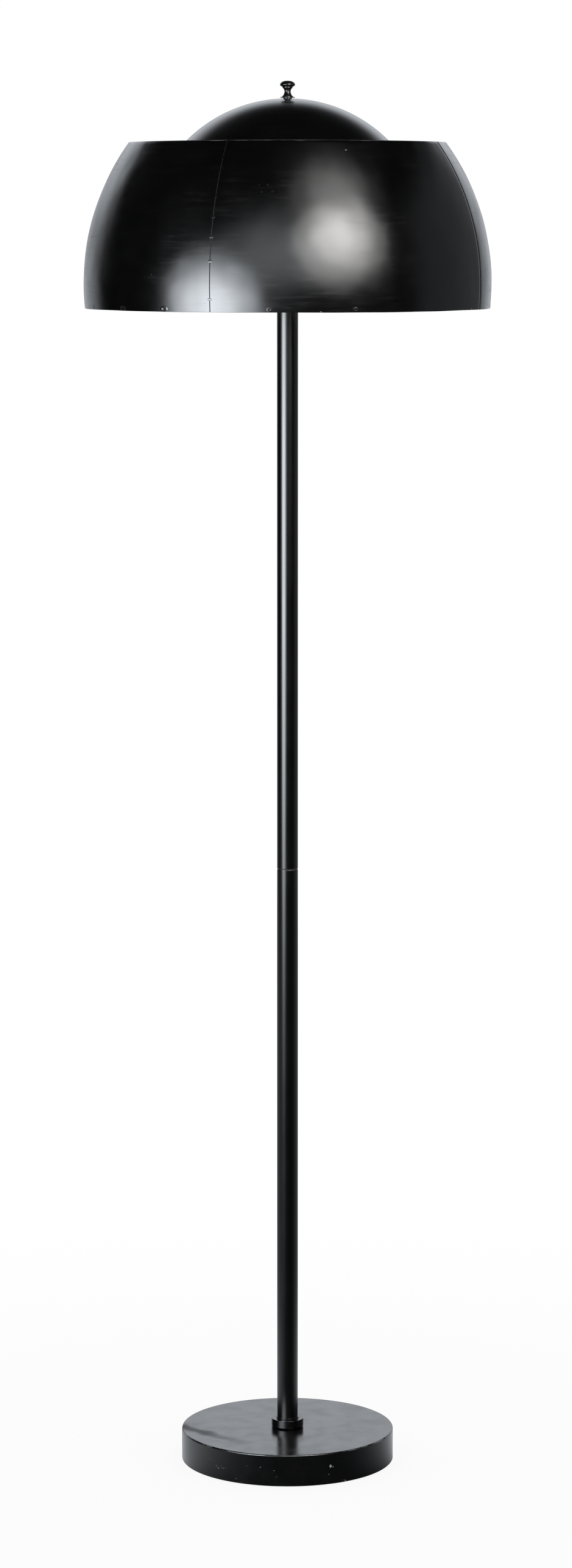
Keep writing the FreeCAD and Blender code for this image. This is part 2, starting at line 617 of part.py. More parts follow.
def socket_and_bulb(side_name, side):
    """One lampholder with its bulb, drawn upright and laid along the socket axis."""

    def laid(name, corners):
        piece = turned(f"{name}_{side_name}", corners)
        lay_along_x(piece, side)
        return piece

    cap_start = d.holder_radius + d.socket_cap_gap
    laid("socket_nipple", tube_outline(d.nipple_radius, d.nipple_bore_radius,
                                       arm_nut_start, cap_start + d.arm_nipple_reach))
    nut = hexagon_nut(f"socket_nut_{side_name}", ZERO, d.nipple_radius, d.arm_nut_thickness)
    lay_along_x(nut, side)
    drive(nut, "Placement.Base.x", arm_nut_start * side)
    keep(nut, f"socket_nut_{side_name}")

    cap_end = cap_start + d.socket_cap_length
    cone_end = cap_start + d.socket_cap_cone
    laid("socket_cap", [
        (nipple_hole, cap_start),
        (d.socket_cap_back_radius, cap_start),
        (socket_cap_radius, cone_end),
        (socket_cap_radius, cap_end),
        (cap_inside, cap_end),
        (cap_inside, cone_end + d.socket_sheet / 2),
        (d.socket_cap_back_radius, cap_start + d.socket_sheet),
        (nipple_hole, cap_start + d.socket_sheet),
    ])

    shell_start = cap_start + d.socket_shell_inset
    shell = laid("socket_shell", tube_outline(shell_radius, shell_inside, shell_start,
                                              shell_start + d.socket_shell_length))
    core_start = shell_start + d.socket_core_inset
    core_step = core_start + d.socket_core_base
    core_end = core_start + d.socket_core_length
    core = laid("socket_core", [
        (ZERO, core_start),
        (core_radius, core_start),
        (core_radius, core_end),
        (core_inside, core_end),
        (core_inside, core_step),
        (ZERO, core_step),
    ])
    # The switch shaft comes out of the underside: its holes point down once the socket is laid.
    knob_place = core_start + d.knob_inset
    shaft_end = core_radius - d.knob_shaft_depth
    for body, name, play in ((shell, "shell_hole", d.knob_hole_play),
                             (core, "shaft_hole", d.thread_fit)):
        round_pocket(body, "YZ_Plane", (ZERO, knob_place), d.knob_shaft_radius + play,
                     f"{name}_{side_name}", shaft_end * side, d.knob_shaft_reach,
                     reverse=(side > 0))

    laid("screw_shell", tube_outline(screw_radius, screw_inside, core_step,
                                     core_step + d.screw_shell_length))
    contact_end = core_step + d.contact_thickness
    laid("socket_contact", rod_outline(d.contact_radius, core_step, contact_end))

    button_start = contact_end + d.bulb_contact_gap
    button_end = button_start + d.bulb_contact_thickness
    laid("bulb_contact", rod_outline(d.bulb_contact_radius, button_start, button_end))
    cap_cone_end = button_end + d.bulb_cap_cone
    bulb_cap_end = button_end + d.bulb_cap_length
    laid("bulb_cap", [
        (ZERO, button_end),
        (d.bulb_cap_end_radius, button_end),
        (d.bulb_cap_radius, cap_cone_end),
        (d.bulb_cap_radius, bulb_cap_end),
        (d.bulb_cap_radius - d.bulb_cap_sheet, bulb_cap_end),
        (d.bulb_cap_radius - d.bulb_cap_sheet, cap_cone_end),
        (d.bulb_cap_end_radius, button_end + d.bulb_cap_sheet),
        (ZERO, button_end + d.bulb_cap_sheet),
    ])
    neck_end = bulb_cap_end + d.bulb_neck_length
    globe_centre = bulb_cap_end + d.bulb_length - d.bulb_radius
    inner_globe = d.bulb_radius - d.bulb_glass
    neck_radius = d.bulb_cap_radius + d.bulb_neck_step
    glass_inside = neck_radius - d.bulb_glass
    laid("bulb_glass", [
        (glass_inside, bulb_cap_end),
        (neck_radius, bulb_cap_end),
        (neck_radius, neck_end),
        (d.bulb_radius * GLOBE_EDGE_ACROSS, globe_centre - d.bulb_radius * GLOBE_EDGE_DOWN),
        Bend(ZERO, globe_centre, d.bulb_radius),
        (d.bulb_radius, globe_centre),
        Bend(ZERO, globe_centre, d.bulb_radius),
        (ZERO, globe_centre + d.bulb_radius),
        (ZERO, globe_centre + inner_globe),
        Bend(ZERO, globe_centre, inner_globe),
        (inner_globe, globe_centre),
        Bend(ZERO, globe_centre, inner_globe),
        (inner_globe * GLOBE_EDGE_ACROSS, globe_centre - inner_globe * GLOBE_EDGE_DOWN),
        (glass_inside, neck_end),
    ])
    switch_knob(side_name, side, knob_place)


def switch_knob(side_name, side, knob_place):
    """A moulded key on a shaft that hangs down from the socket."""
    body = doc.addObject("PartDesign::Body", f"switch_knob_{side_name}_body")
    shaft_top = d.knob_shaft_depth - d.thread_fit - core_radius
    grip_low = -d.knob_shaft_reach - d.knob_grip_root
    revolve(body, [
        (ZERO, grip_low),
        (d.knob_grip_radius, grip_low),
        (d.knob_grip_radius, -d.knob_shaft_reach),
        (d.knob_shaft_radius, -d.knob_shaft_reach),
        (d.knob_shaft_radius, shaft_top),
        (ZERO, shaft_top),
    ], f"knob_shaft_{side_name}")
    half_width = d.knob_paddle_width / 2
    half_thickness = d.knob_paddle_thickness / 2
    pad(body, "XY_Plane", [
        (-half_width, -half_thickness),
        (half_width, -half_thickness),
        (half_width, half_thickness),
        (-half_width, half_thickness),
    ], f"knob_paddle_{side_name}", grip_low - d.knob_paddle_length + d.knob_grip_root,
        d.knob_paddle_length)
    drive(body, "Placement.Base.x", knob_place * side)
    drive(body, "Placement.Base.z", socket_height)
    keep(body, f"switch_knob_{side_name}")


socket_and_bulb("right", 1)
socket_and_bulb("left", -1)

# ---- Post --------------------------------------------------------------------------------------

# A solid rod clamped in the lid by two nuts; a third nut and a washer carry the shade.
arm_height = lid_high + d.arm_rise
spacer_low = arm_height + d.hub_thickness
dome_seat = arm_height + d.dome_rise
seat_high = dome_seat - d.dome_wall
seat_low = seat_high - d.seat_washer_thickness
post_top = seat_low - d.post_top_drop
post_low = lid_low - d.hex_thickness - d.post_stub
tapped_radius = d.finial_screw_radius + d.thread_fit
turned("shade_post", [
    (ZERO, post_low),
    (d.nipple_radius, post_low),
    (d.nipple_radius, post_top),
    (tapped_radius, post_top),
    (tapped_radius, post_top - d.post_hole_depth),
    (ZERO, post_top - d.post_hole_depth),
])
shade_washer_low = arm_height - d.washer_thickness
turned("shade_washer", tube_outline(d.washer_radius, nipple_hole, shade_washer_low, arm_height))
post_nuts = doc.addObject("Part::Compound", "post_nuts_group")
post_nuts.Links = [
    hexagon_nut("post_nut_inner", lid_low - d.hex_thickness, d.nipple_radius, d.hex_thickness),
    hexagon_nut("post_nut_outer", lid_high, d.nipple_radius, d.hex_thickness),
    hexagon_nut("shade_nut", shade_washer_low - d.hex_thickness, d.nipple_radius, d.hex_thickness),
]
keep(post_nuts, "post_nuts")

# ---- Shade -------------------------------------------------------------------------------------

# The bowed sheets of the ring share one arc, seen in section.
ring_low = arm_height - d.ring_drop
ring_high = arm_height + d.ring_rise
arc_centre = (d.ring_belly_radius - d.ring_arc_radius, arm_height - d.ring_belly_drop)


def on_arc(arc_radius, height):
    """Radius from the lamp axis of a point on the ring's arc, or one parallel to it."""
    return arc_centre[0] + leg(arc_radius, height - arc_centre[1])


def bowed_band(outer_arc, thickness, low, high):
    """The section of a sheet that follows the ring's arc between two heights."""
    inner_arc = outer_arc - thickness
    return [
        (on_arc(inner_arc, low), low),
        (on_arc(outer_arc, low), low),
        Bend(*arc_centre, outer_arc),
        (on_arc(outer_arc, high), high),
        (on_arc(inner_arc, high), high),
        Bend(*arc_centre, inner_arc),
    ]


sheet_section = bowed_band(d.ring_arc_radius, d.ring_wall, ring_low, ring_high)
panel_angle = FULL_TURN / SEAM_COUNT - d.seam_gap_angle
for place, panel_name in enumerate(("front", "right", "back", "left")):
    panel = turned(f"shade_panel_{panel_name}", sheet_section, panel_angle)
    face_azimuth(panel, d.seam_azimuth + FULL_TURN / SEAM_COUNT * (place + 0.5))

# Tacks of weld bridge the open seams, evenly spaced from edge to edge.
tack_bodies = []
first_tack = ring_low + d.first_tack_rise
tack_span = ring_high - d.last_tack_drop - first_tack
for seam in range(SEAM_COUNT):
    for tack in range(TACKS_PER_SEAM):
        middle = first_tack + tack_span * (tack / (TACKS_PER_SEAM - 1))
        body = doc.addObject("PartDesign::Body", f"tack_{seam}_{tack}")
        section = bowed_band(d.ring_arc_radius, d.ring_wall, middle - d.tack_length / 2,
                             middle + d.tack_length / 2)
        revolve(body, section, f"tack_{seam}_{tack}_turn", d.seam_gap_angle)
        face_azimuth(body, d.seam_azimuth + FULL_TURN / SEAM_COUNT * seam)
        tack_bodies.append(body)
seam_tacks = doc.addObject("Part::Compound", "seam_tacks_group")
seam_tacks.Links = tack_bodies
keep(seam_tacks, "seam_tacks")

# A hoop spot-welded inside the lower edge keeps the ring round.
inner_sheet_arc = d.ring_arc_radius - d.ring_wall - d.weld_gap
hoop_low = ring_low + d.hoop_rise
turned("rim_hoop", bowed_band(inner_sheet_arc, d.hoop_thickness, hoop_low,
                              hoop_low + d.hoop_width))

# Three flat arms run from a hub on the post to feet that are spot-welded inside the ring.
spider = doc.addObject("PartDesign::Body", "shade_spider_body")
revolve(spider, tube_outline(d.hub_radius, d.nipple_radius + d.thread_fit, arm_height,
                             arm_height + d.hub_thickness), "spider_hub")
arm_top = arm_height + d.arm_thickness
foot_low = arm_height + d.arm_thickness / 2 - d.arm_foot_height / 2
foot_section = bowed_band(inner_sheet_arc, d.arm_foot_thickness, foot_low,
                          foot_low + d.arm_foot_height)
spider_foot = revolve(spider, foot_section, "spider_foot", d.arm_foot_angle)
half_arm = d.arm_width / 2
arm_end = on_arc(inner_sheet_arc - d.arm_foot_thickness / 2, arm_top)
spider_arm = pad(spider, "XY_Plane", [
    (d.hub_radius / 2, -half_arm),
    (arm_end, -half_arm),
    (arm_end, half_arm),
    (d.hub_radius / 2, half_arm),
], "spider_arm", arm_height, d.arm_thickness)
doc.recompute()
arm_pattern = spider.newObject("PartDesign::PolarPattern", "spider_arms")
arm_pattern.Originals = [spider_foot, spider_arm]
arm_pattern.Axis = (origin_plane(spider, "Z_Axis"), [""])
arm_pattern.Angle = FULL_TURN
arm_pattern.Occurrences = ARM_COUNT
spider.Tip = arm_pattern
face_azimuth(spider, d.arm_azimuth)
keep(spider, "shade_spider")

# A tube around the post holds the dome up, with a flat washer between.
spacer_inside = d.nipple_radius + d.spacer_clearance
turned("dome_spacer", tube_outline(d.spacer_radius, spacer_inside, spacer_low, seat_low))
dome_hole = d.finial_screw_radius + d.dome_hole_play
turned("dome_washer", tube_outline(d.seat_washer_radius, dome_hole, seat_low, seat_high))

# The dome is a spun spherical cap with a small flat seat at its crown.
dome_centre = dome_seat - leg(d.dome_sphere_radius, d.dome_seat_radius)
dome_inner = d.dome_sphere_radius - d.dome_wall
dome_rim = dome_seat - d.dome_depth


def on_dome(sphere, height):
    return leg(sphere, height - dome_centre)


inner_seat_radius = leg(dome_inner, seat_high - dome_centre)
turned("dome", [
    (on_dome(dome_inner, dome_rim), dome_rim),
    (on_dome(d.dome_sphere_radius, dome_rim), dome_rim),
    Bend(ZERO, dome_centre, d.dome_sphere_radius),
    (d.dome_seat_radius, dome_seat),
    (dome_hole, dome_seat),
    (dome_hole, seat_high),
    (inner_seat_radius, seat_high),
    Bend(ZERO, dome_centre, dome_inner),
])

# ---- Finial ------------------------------------------------------------------------------------

# A shouldered washer stands on the dome, and the finial's screw goes through it into the post.
spigot_top = dome_seat + d.finial_spigot_height
finial_low = spigot_top + d.finial_washer_thickness
screw_hole = d.finial_screw_radius + d.thread_fit
turned("finial_washer", [
    (screw_hole, dome_seat),
    (d.finial_spigot_radius, dome_seat),
    (d.finial_spigot_radius, spigot_top),
    (d.finial_washer_radius, spigot_top),
    (d.finial_washer_radius, finial_low),
    (screw_hole, finial_low),
])


def flare(radius_out, radius_in, rise):
    """Radius of the quarter-like arc from an edge to a neck that it meets upright."""
    run = radius_out - radius_in
    return (run * run + rise * rise) / (run * 2)


foot_edge = finial_low + d.finial_foot_thickness
neck = finial_low + d.finial_neck_height
cup_low = finial_low + d.finial_cup_height
cup_high = cup_low + d.finial_cup_edge
head_widest = finial_low + d.finial_head_height
finial_top = finial_low + d.finial_height
foot_flare = flare(d.finial_foot_radius, d.finial_neck_radius, neck - foot_edge)
cup_flare = flare(d.finial_cup_radius, d.finial_neck_radius, cup_low - neck)
head_rise = finial_top - head_widest
crown = (d.finial_head_radius * d.finial_head_radius + head_rise * head_rise) / (head_rise * 2)
under_drop = head_widest - cup_high
under_run = d.finial_head_radius - d.finial_head_under
under = (under_run * under_run + under_drop * under_drop) / (under_run * 2)
turned("finial", [
    (ZERO, finial_low - d.finial_screw_length),
    (d.finial_screw_radius, finial_low - d.finial_screw_length),
    (d.finial_screw_radius, finial_low),
    (d.finial_foot_radius, finial_low),
    (d.finial_foot_radius, foot_edge),
    Bend(d.finial_neck_radius + foot_flare, neck, foot_flare),
    (d.finial_neck_radius, neck),
    Bend(d.finial_neck_radius + cup_flare, neck, cup_flare),
    (d.finial_cup_radius, cup_low),
    (d.finial_cup_radius, cup_high),
    (d.finial_head_under, cup_high),
    Bend(d.finial_head_radius - under, head_widest, under),
    (d.finial_head_radius, head_widest),
    Bend(ZERO, finial_top - crown, crown),
    (ZERO, finial_top),
])

# ---- Check and write ---------------------------------------------------------------------------

doc.recompute()
for item in doc.Objects:
    if "Invalid" in item.State or "Error" in item.State:
        raise ValueError(f"{item.Name} is {item.State}")
for piece in sub_parts:
    if piece.Shape.isNull() or not piece.Shape.isValid():
        raise ValueError(f"{piece.Label} has no valid shape")
os.makedirs("parts", exist_ok=True)
for piece in sub_parts:
    piece.Shape.exportStep(f"parts/{piece.Label}.step")
print(len(sub_parts), "sub-parts written")
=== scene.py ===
import math
import bmesh
import bpy
from mathutils import Matrix, Vector, noise


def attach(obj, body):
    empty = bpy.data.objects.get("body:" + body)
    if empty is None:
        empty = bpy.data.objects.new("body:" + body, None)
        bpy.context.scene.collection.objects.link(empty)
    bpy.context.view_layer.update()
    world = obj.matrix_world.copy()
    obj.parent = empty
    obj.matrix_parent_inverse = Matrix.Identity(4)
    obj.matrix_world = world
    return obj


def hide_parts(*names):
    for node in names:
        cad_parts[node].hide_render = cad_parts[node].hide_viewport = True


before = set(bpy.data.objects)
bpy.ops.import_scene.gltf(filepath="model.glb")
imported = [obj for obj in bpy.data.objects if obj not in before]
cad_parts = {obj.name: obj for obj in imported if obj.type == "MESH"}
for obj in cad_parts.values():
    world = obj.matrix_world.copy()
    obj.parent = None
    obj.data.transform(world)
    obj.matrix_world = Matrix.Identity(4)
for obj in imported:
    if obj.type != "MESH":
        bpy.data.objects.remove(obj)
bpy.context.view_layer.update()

# ---- Studio ----
# A dim room with a white backdrop behind the lamp, and a pale floor. Four large oval lights show
# only as soft reflections, and all the diffuse light is even and plain.

CAMERA_PLACE = (-0.0018, -5.1399, 1.4984)
CAMERA_PITCH = 7.471
CAMERA_LENS = 99.984
SENSOR_HEIGHT = 36.0


def put(name, data):
    """Put an object of this name into the scene."""
    item = bpy.data.objects.new(name, data)
    bpy.context.collection.objects.link(item)
    return item


camera = put("camera", bpy.data.cameras.new("camera"))
camera.data.sensor_fit = "VERTICAL"
camera.data.sensor_height = SENSOR_HEIGHT
camera.data.lens = CAMERA_LENS
camera.location = CAMERA_PLACE
camera.rotation_euler = (math.radians(90.0 - CAMERA_PITCH), 0.0, 0.0)
bpy.context.scene.camera = camera
bpy.context.scene.view_settings.view_transform = "Standard"


def place(tree, kind, inputs=(), **settings):
    """Put a node in a tree. An input is a value, or the socket to link to it."""
    node = tree.nodes.new("ShaderNode" + kind)
    for name, value in settings.items():
        setattr(node, name, value)
    for key, value in dict(inputs).items():
        if isinstance(value, bpy.types.NodeSocket):
            tree.links.new(value, node.inputs[key])
        else:
            node.inputs[key].default_value = value
    return node


def reckon(tree, operation, *terms):
    return place(tree, "Math", dict(enumerate(terms)), operation=operation).outputs[0]


def times(tree, first, second):
    return reckon(tree, "MULTIPLY", first, second)


def plus(tree, first, second):
    return reckon(tree, "ADD", first, second)


def measure(tree, operation, *terms):
    """A length, distance or dot product of vectors."""
    return place(tree, "VectorMath", dict(enumerate(terms)), operation=operation).outputs["Value"]


def ease(tree, value, start, stop, low=0.0, high=1.0):
    """Go smoothly from low to high while a value goes from start to stop."""
    ends = {"Value": value, "From Min": start, "From Max": stop, "To Min": low, "To Max": high}
    node = place(tree, "MapRange", ends, interpolation_type="SMOOTHSTEP")
    return node.outputs["Result"]


def between(tree, factor, first, second):
    """A number between two others."""
    ends = {0: factor, 2: first, 3: second}
    return place(tree, "Mix", ends, data_type="FLOAT").outputs[0]


def blend_colour(tree, factor, first, second):
    ends = {0: factor, 6: first, 7: second}
    return place(tree, "Mix", ends, data_type="RGBA").outputs[2]


def noisy(tree, spot, size, detail=2.0, roughness=0.5):
    """Even noise with features of a size in metres."""
    inputs = {"Vector": spot, "Scale": 1.0 / size, "Detail": detail, "Roughness": roughness}
    return place(tree, "TexNoise", inputs).outputs["Fac"]


EVEN_LIGHT = 0.95
ROOM_LIGHT = 0.003
BACKDROP_AXIS = (-0.1, 0.995)
BACKDROP_LOW = 0.70
BACKDROP_HIGH = 1.24
WALL_AXIS = (0.85, 0.53)
WALL_LIGHT = 0.2
DAYLIGHT = (1.0, 1.0, 1.0, 1.0)
COOL_WHITE = (0.93, 0.98, 1.04, 1.0)

world = bpy.data.worlds.new("studio")
world.use_nodes = True
bpy.context.scene.world = world
studio = world.node_tree
studio.nodes.clear()
heading = place(studio, "SeparateXYZ", {0: place(studio, "TexCoord").outputs["Generated"]}).outputs


def towards(axis):
    """How far a ray heads along a level axis."""
    return plus(studio, times(studio, heading[0], axis[0]), times(studio, heading[1], axis[1]))


under_top = ease(studio, heading[2], 0.64, 0.40)
backdrop = times(studio, ease(studio, towards(BACKDROP_AXIS), 0.66, 0.9), under_top)
backdrop = times(studio, backdrop, ease(studio, heading[2], 0.1, 0.25, BACKDROP_LOW, BACKDROP_HIGH))
wall = times(studio, ease(studio, towards(WALL_AXIS), 0.55, 0.85), under_top)
room = plus(studio, times(studio, wall, WALL_LIGHT), ROOM_LIGHT)
ray = place(studio, "LightPath").outputs
mirrored = reckon(studio, "MAXIMUM", ray["Is Glossy Ray"], ray["Is Transmission Ray"])
strength = between(studio, mirrored, EVEN_LIGHT, plus(studio, backdrop, room))
strength = between(studio, ray["Is Camera Ray"], strength, 1.0)
tint = blend_colour(studio, mirrored, DAYLIGHT, COOL_WHITE)
sky = place(studio, "Background", {"Color": tint, "Strength": strength})
place(studio, "OutputWorld", {"Surface": sky.outputs[0]})


def soft_light(name, azimuth, distance, height, size, watts, colour, aim):
    """An oval light at a height, facing a point on the lamp's axis at the height aim. It is
    brightest in its middle and fades out towards its edge."""
    oval = bpy.data.lights.new(name, "AREA")
    oval.shape = "ELLIPSE"
    oval.size, oval.size_y = size
    oval.energy = watts
    oval.color = colour
    oval.use_nodes = True
    cloth = oval.node_tree
    cloth.nodes.clear()
    spot = place(cloth, "NewGeometry").outputs["Parametric"]
    off = measure(cloth, "DISTANCE", spot, (0.5, 0.5, 0.0))
    glow = place(cloth, "Emission", {"Strength": ease(cloth, off, 0.5, 0.0)})
    place(cloth, "OutputLight", {"Surface": glow.outputs[0]})
    light = put(name, oval)
    angle = math.radians(azimuth)
    light.location = (distance * math.sin(angle), -distance * math.cos(angle), height)
    facing = Vector((0.0, 0.0, aim)) - light.location
    light.rotation_euler = facing.to_track_quat("-Z", "Y").to_euler()
    light.visible_camera = False
    light.visible_diffuse = False


WARM = (1.0, 0.99, 0.98)
COOL = (0.92, 0.975, 1.03)
soft_light("right_light", azimuth=29.5, distance=2.2, height=2.29, size=(2.62, 2.14), watts=191.0,
           colour=WARM, aim=2.29)
soft_light("upper_light", azimuth=32.0, distance=1.8, height=2.95, size=(2.16, 2.00), watts=31.6,
           colour=WARM, aim=1.45)
soft_light("left_light", azimuth=-41.5, distance=2.2, height=1.07, size=(2.85, 2.11), watts=254.0,
           colour=COOL, aim=1.07)
soft_light("front_light", azimuth=-7.0, distance=3.2, height=2.25, size=(4.80, 3.20), watts=62.4,
           colour=COOL, aim=1.45)

FLOOR_HALF = 4.0
FLOOR_LEVEL = -0.0003
FLOOR_COLOUR = (0.8, 0.8, 0.79, 1.0)
FLOOR_DULL = (0.76, 0.76, 0.75, 1.0)
FLOOR_WHITE_NEAR = 0.9
FLOOR_BRIGHT_SIDE = (-0.26, 0.966, 0.0)

floor_material = bpy.data.materials.new("floor")
floor_material.use_nodes = True
tree = floor_material.node_tree
tree.nodes.clear()
spot = place(tree, "TexCoord").outputs["Object"]
out = measure(tree, "LENGTH", spot)
bearing = place(tree, "VectorMath", {0: spot}, operation="NORMALIZE").outputs[0]
bearing = measure(tree, "DOT_PRODUCT", bearing, FLOOR_BRIGHT_SIDE)
paper = noisy(tree, spot, 1 / 3, 4.0)
paint = blend_colour(tree, ease(tree, paper, 0.3, 0.7), FLOOR_COLOUR, FLOOR_DULL)
ray = place(tree, "LightPath").outputs
whiteness = times(tree, ray["Is Camera Ray"], ease(tree, out, 0.3, 1.4, FLOOR_WHITE_NEAR, 1.0))
matt = place(tree, "BsdfDiffuse", {"Color": paint}).outputs[0]
glow = place(tree, "Emission", {"Color": DAYLIGHT, "Strength": 1.0}).outputs[0]
shown = place(tree, "MixShader", {0: whiteness, 1: matt, 2: glow}).outputs[0]
# What the lamp mirrors of the floor is brightest near the lamp and behind it.
round_floor = times(tree, ease(tree, bearing, -0.95, 0.25, 0.05, 0.75),
                    ease(tree, out, 0.35, 1.0, 1.0, 0.4))
mirrored_floor = place(tree, "Emission", {"Color": COOL_WHITE, "Strength": round_floor}).outputs[0]
shown = place(tree, "MixShader", {0: ray["Is Glossy Ray"], 1: shown, 2: mirrored_floor}).outputs[0]
clear = place(tree, "BsdfTransparent").outputs[0]
underneath = place(tree, "NewGeometry").outputs["Backfacing"]
shown = place(tree, "MixShader", {0: underneath, 1: shown, 2: clear}).outputs[0]
place(tree, "OutputMaterial", {"Surface": shown})

corners = [(across * FLOOR_HALF, deep * FLOOR_HALF, FLOOR_LEVEL)
           for across, deep in ((-1, -1), (1, -1), (1, 1), (-1, 1))]
floor_mesh = bpy.data.meshes.new("floor")
floor_mesh.from_pydata(corners, [], [(0, 1, 2, 3)])
floor_mesh.materials.append(floor_material)
floor = put("floor", floor_mesh)

# ---- Felt pad ----
# A ring of dark green wool felt under the foot, cut with a punch and glued on. The fibres lie
# every way and give it a soft, slightly woolly face.


def new_finish(name):
    """An empty material with its tree and the place on the piece that its patterns follow."""
    material = bpy.data.materials.new(name)
    material.use_nodes = True
    material.node_tree.nodes.clear()
    return material, material.node_tree, place(material.node_tree, "TexCoord").outputs["Object"]


def coat(tree, colour, roughness, height, depth=1.0, others=()):
    """The surface shader, with a bump. Height times depth is in metres."""
    bump = place(tree, "Bump", {"Height": height, "Strength": 1.0, "Distance": depth})
    inputs = {"Base Color": colour, "Roughness": roughness, "Normal": bump.outputs[0]}
    shader = place(tree, "BsdfPrincipled", {**inputs, **dict(others)})
    place(tree, "OutputMaterial", {"Surface": shader.outputs[0]})


def finish_nodes(material, *names):
    """Give CAD nodes a finish."""
    for name in names:
        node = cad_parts[name]
        node.data.materials.clear()
        node.data.materials.append(material)


FELT_DARK = (0.016, 0.028, 0.019, 1.0)
FELT_PALE = (0.055, 0.085, 0.06, 1.0)
FELT_PATCH = (0.03, 0.04, 0.03, 1.0)
felt, tree, spot = new_finish("wool_felt")
fibre = noisy(tree, spot, 0.0011, 6.0, 0.7)
patches = noisy(tree, spot, 0.012)
green = blend_colour(tree, ease(tree, fibre, 0.35, 0.7), FELT_DARK, FELT_PALE)
green = blend_colour(tree, ease(tree, patches, 0.4, 0.8, 0.0, 0.4), green, FELT_PATCH)
coat(tree, green, 0.95, fibre, 0.0006,
     {"Sheen Weight": 0.5, "Sheen Roughness": 0.6, "Specular IOR Level": 0.2})
finish_nodes(felt, "foot_pad")

# ---- Cast iron weight ----
# Sand-cast grey iron, left as it came from the mould but for a scrubbing: a grainy skin with
# dark scale and patches of rust.

IRON_DARK = (0.055, 0.052, 0.05, 1.0)
IRON_PALE = (0.16, 0.155, 0.15, 1.0)
RUST = (0.11, 0.045, 0.02, 1.0)
iron, tree, spot = new_finish("cast_iron")
grain = noisy(tree, spot, 0.0016, 8.0, 0.65)
lumps = noisy(tree, spot, 0.009, 3.0)
rust = ease(tree, noisy(tree, spot, 0.018, 5.0, 0.6), 0.58, 0.72)
grey = blend_colour(tree, rust, blend_colour(tree, grain, IRON_DARK, IRON_PALE), RUST)
coat(tree, grey, ease(tree, grain, 0.2, 0.8, 0.5, 0.8),
     plus(tree, times(tree, grain, 0.35), lumps), 0.0008,
     {"Metallic": reckon(tree, "SUBTRACT", 0.75, rust)})
finish_nodes(iron, "foot_weight")

# ---- Foot cover ----
# A shallow cup of 1.5 mm sheet steel, drawn over a former, upside down over the weight, and
# sprayed satin black. Years of shoes and brooms have chipped the paint on its wall.


def bend(centre, radius, start, stop, steps):
    """Points along an arc, with its angles in degrees from outwards, anticlockwise."""
    points = []
    for step in range(steps + 1):
        angle = math.radians(start + (stop - start) * step / steps)
        points.append((centre[0] + radius * math.cos(angle), centre[1] + radius * math.sin(angle)))
    return points


def rounded_top(radius, height, rounding, steps):
    """The rounded outer corner at the top of an outline."""
    return bend((radius - rounding, height - rounding), rounding, 0.0, 90.0, steps)


def mesh_piece(name, points, faces, material, body, replaced, sharp=35.0):
    """Make a smooth piece of points and faces, which rides on a body and stands for a CAD node."""
    mesh = bpy.data.meshes.new(name)
    mesh.from_pydata(points, [], faces)
    mesh.materials.append(material)
    mesh.shade_smooth()
    mesh.set_sharp_from_angle(angle=math.radians(sharp))
    piece = put(name, mesh)
    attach(piece, body)
    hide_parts(replaced)
    return piece


LONG_RUN = 0.005
HOLD = 0.0003


def held(outline):
    """Add points near the ends of a closed outline's long runs, so that those shade flat."""
    points = []
    for start, stop in zip(outline, outline[1:] + outline[:1]):
        points.append(start)
        length = math.dist(start, stop)
        if length > LONG_RUN:
            for share in (HOLD / length, 1.0 - HOLD / length):
                points.append(tuple(a + (b - a) * share for a, b in zip(start, stop)))
    return points


def spin(outline, steps):
    """Turn a closed outline of (radius, height) points, listed anticlockwise, about the axis."""
    points = []
    rows = []
    for radius, height in held(outline):
        first = len(points)
        if radius < 1e-6:
            points.append((0.0, 0.0, height))
            rows.append([first] * steps)
            continue
        for step in range(steps):
            angle = math.tau * step / steps
            points.append((radius * math.cos(angle), radius * math.sin(angle), height))
        rows.append(list(range(first, first + steps)))
    faces = []
    for row, after in zip(rows, rows[1:] + rows[:1]):
        for step in range(steps):
            turn = (step + 1) % steps
            corners = dict.fromkeys((row[step], row[turn], after[turn], after[step]))
            if len(corners) > 2:
                faces.append(tuple(corners))
    return points, faces


def new_group(name, inputs, outputs):
    """A node group for an effect that several finishes share."""
    group = bpy.data.node_groups.new(name, "ShaderNodeTree")
    for label, kind, value in inputs:
        socket = group.interface.new_socket(label, in_out="INPUT", socket_type="NodeSocket" + kind)
        socket.default_value = value
    for label in outputs:
        group.interface.new_socket(label, in_out="OUTPUT", socket_type="NodeSocketFloat")
    given = group.nodes.new("NodeGroupInput").outputs
    return group, given, group.nodes.new("NodeGroupOutput").inputs


# Sprayed paint: a faint orange peel, cloudy gloss, and the odd speck of grit under the coat.
group, given, result = new_group(
    "sprayed paint", [("Peel Size", "Float", 0.0022), ("Cloud Size", "Float", 0.05)],
    ["Height", "Cloud", "Speck"])
spot = place(group, "TexCoord").outputs["Object"]
peel = place(group, "TexNoise", {"Vector": spot, "Detail": 2.0,
                                 "Scale": reckon(group, "DIVIDE", 1.0, given["Peel Size"])})
cloud = place(group, "TexNoise", {"Vector": spot, "Detail": 3.0, "Roughness": 0.45,
                                  "Scale": reckon(group, "DIVIDE", 1.0, given["Cloud Size"])})
grit = place(group, "TexVoronoi", {"Vector": spot, "Scale": 85.0}, feature="F1")
reach = ease(group, noisy(group, spot, 0.025), 0.55, 0.75, 0.0, 0.055)
speck = reckon(group, "LESS_THAN", grit.outputs["Distance"], reach)
height = plus(group, peel.outputs["Fac"], times(group, speck, 0.3))
for label, value in (("Height", height), ("Cloud", cloud.outputs["Fac"]), ("Speck", speck)):
    group.links.new(value, result[label])
sprayed_paint = group

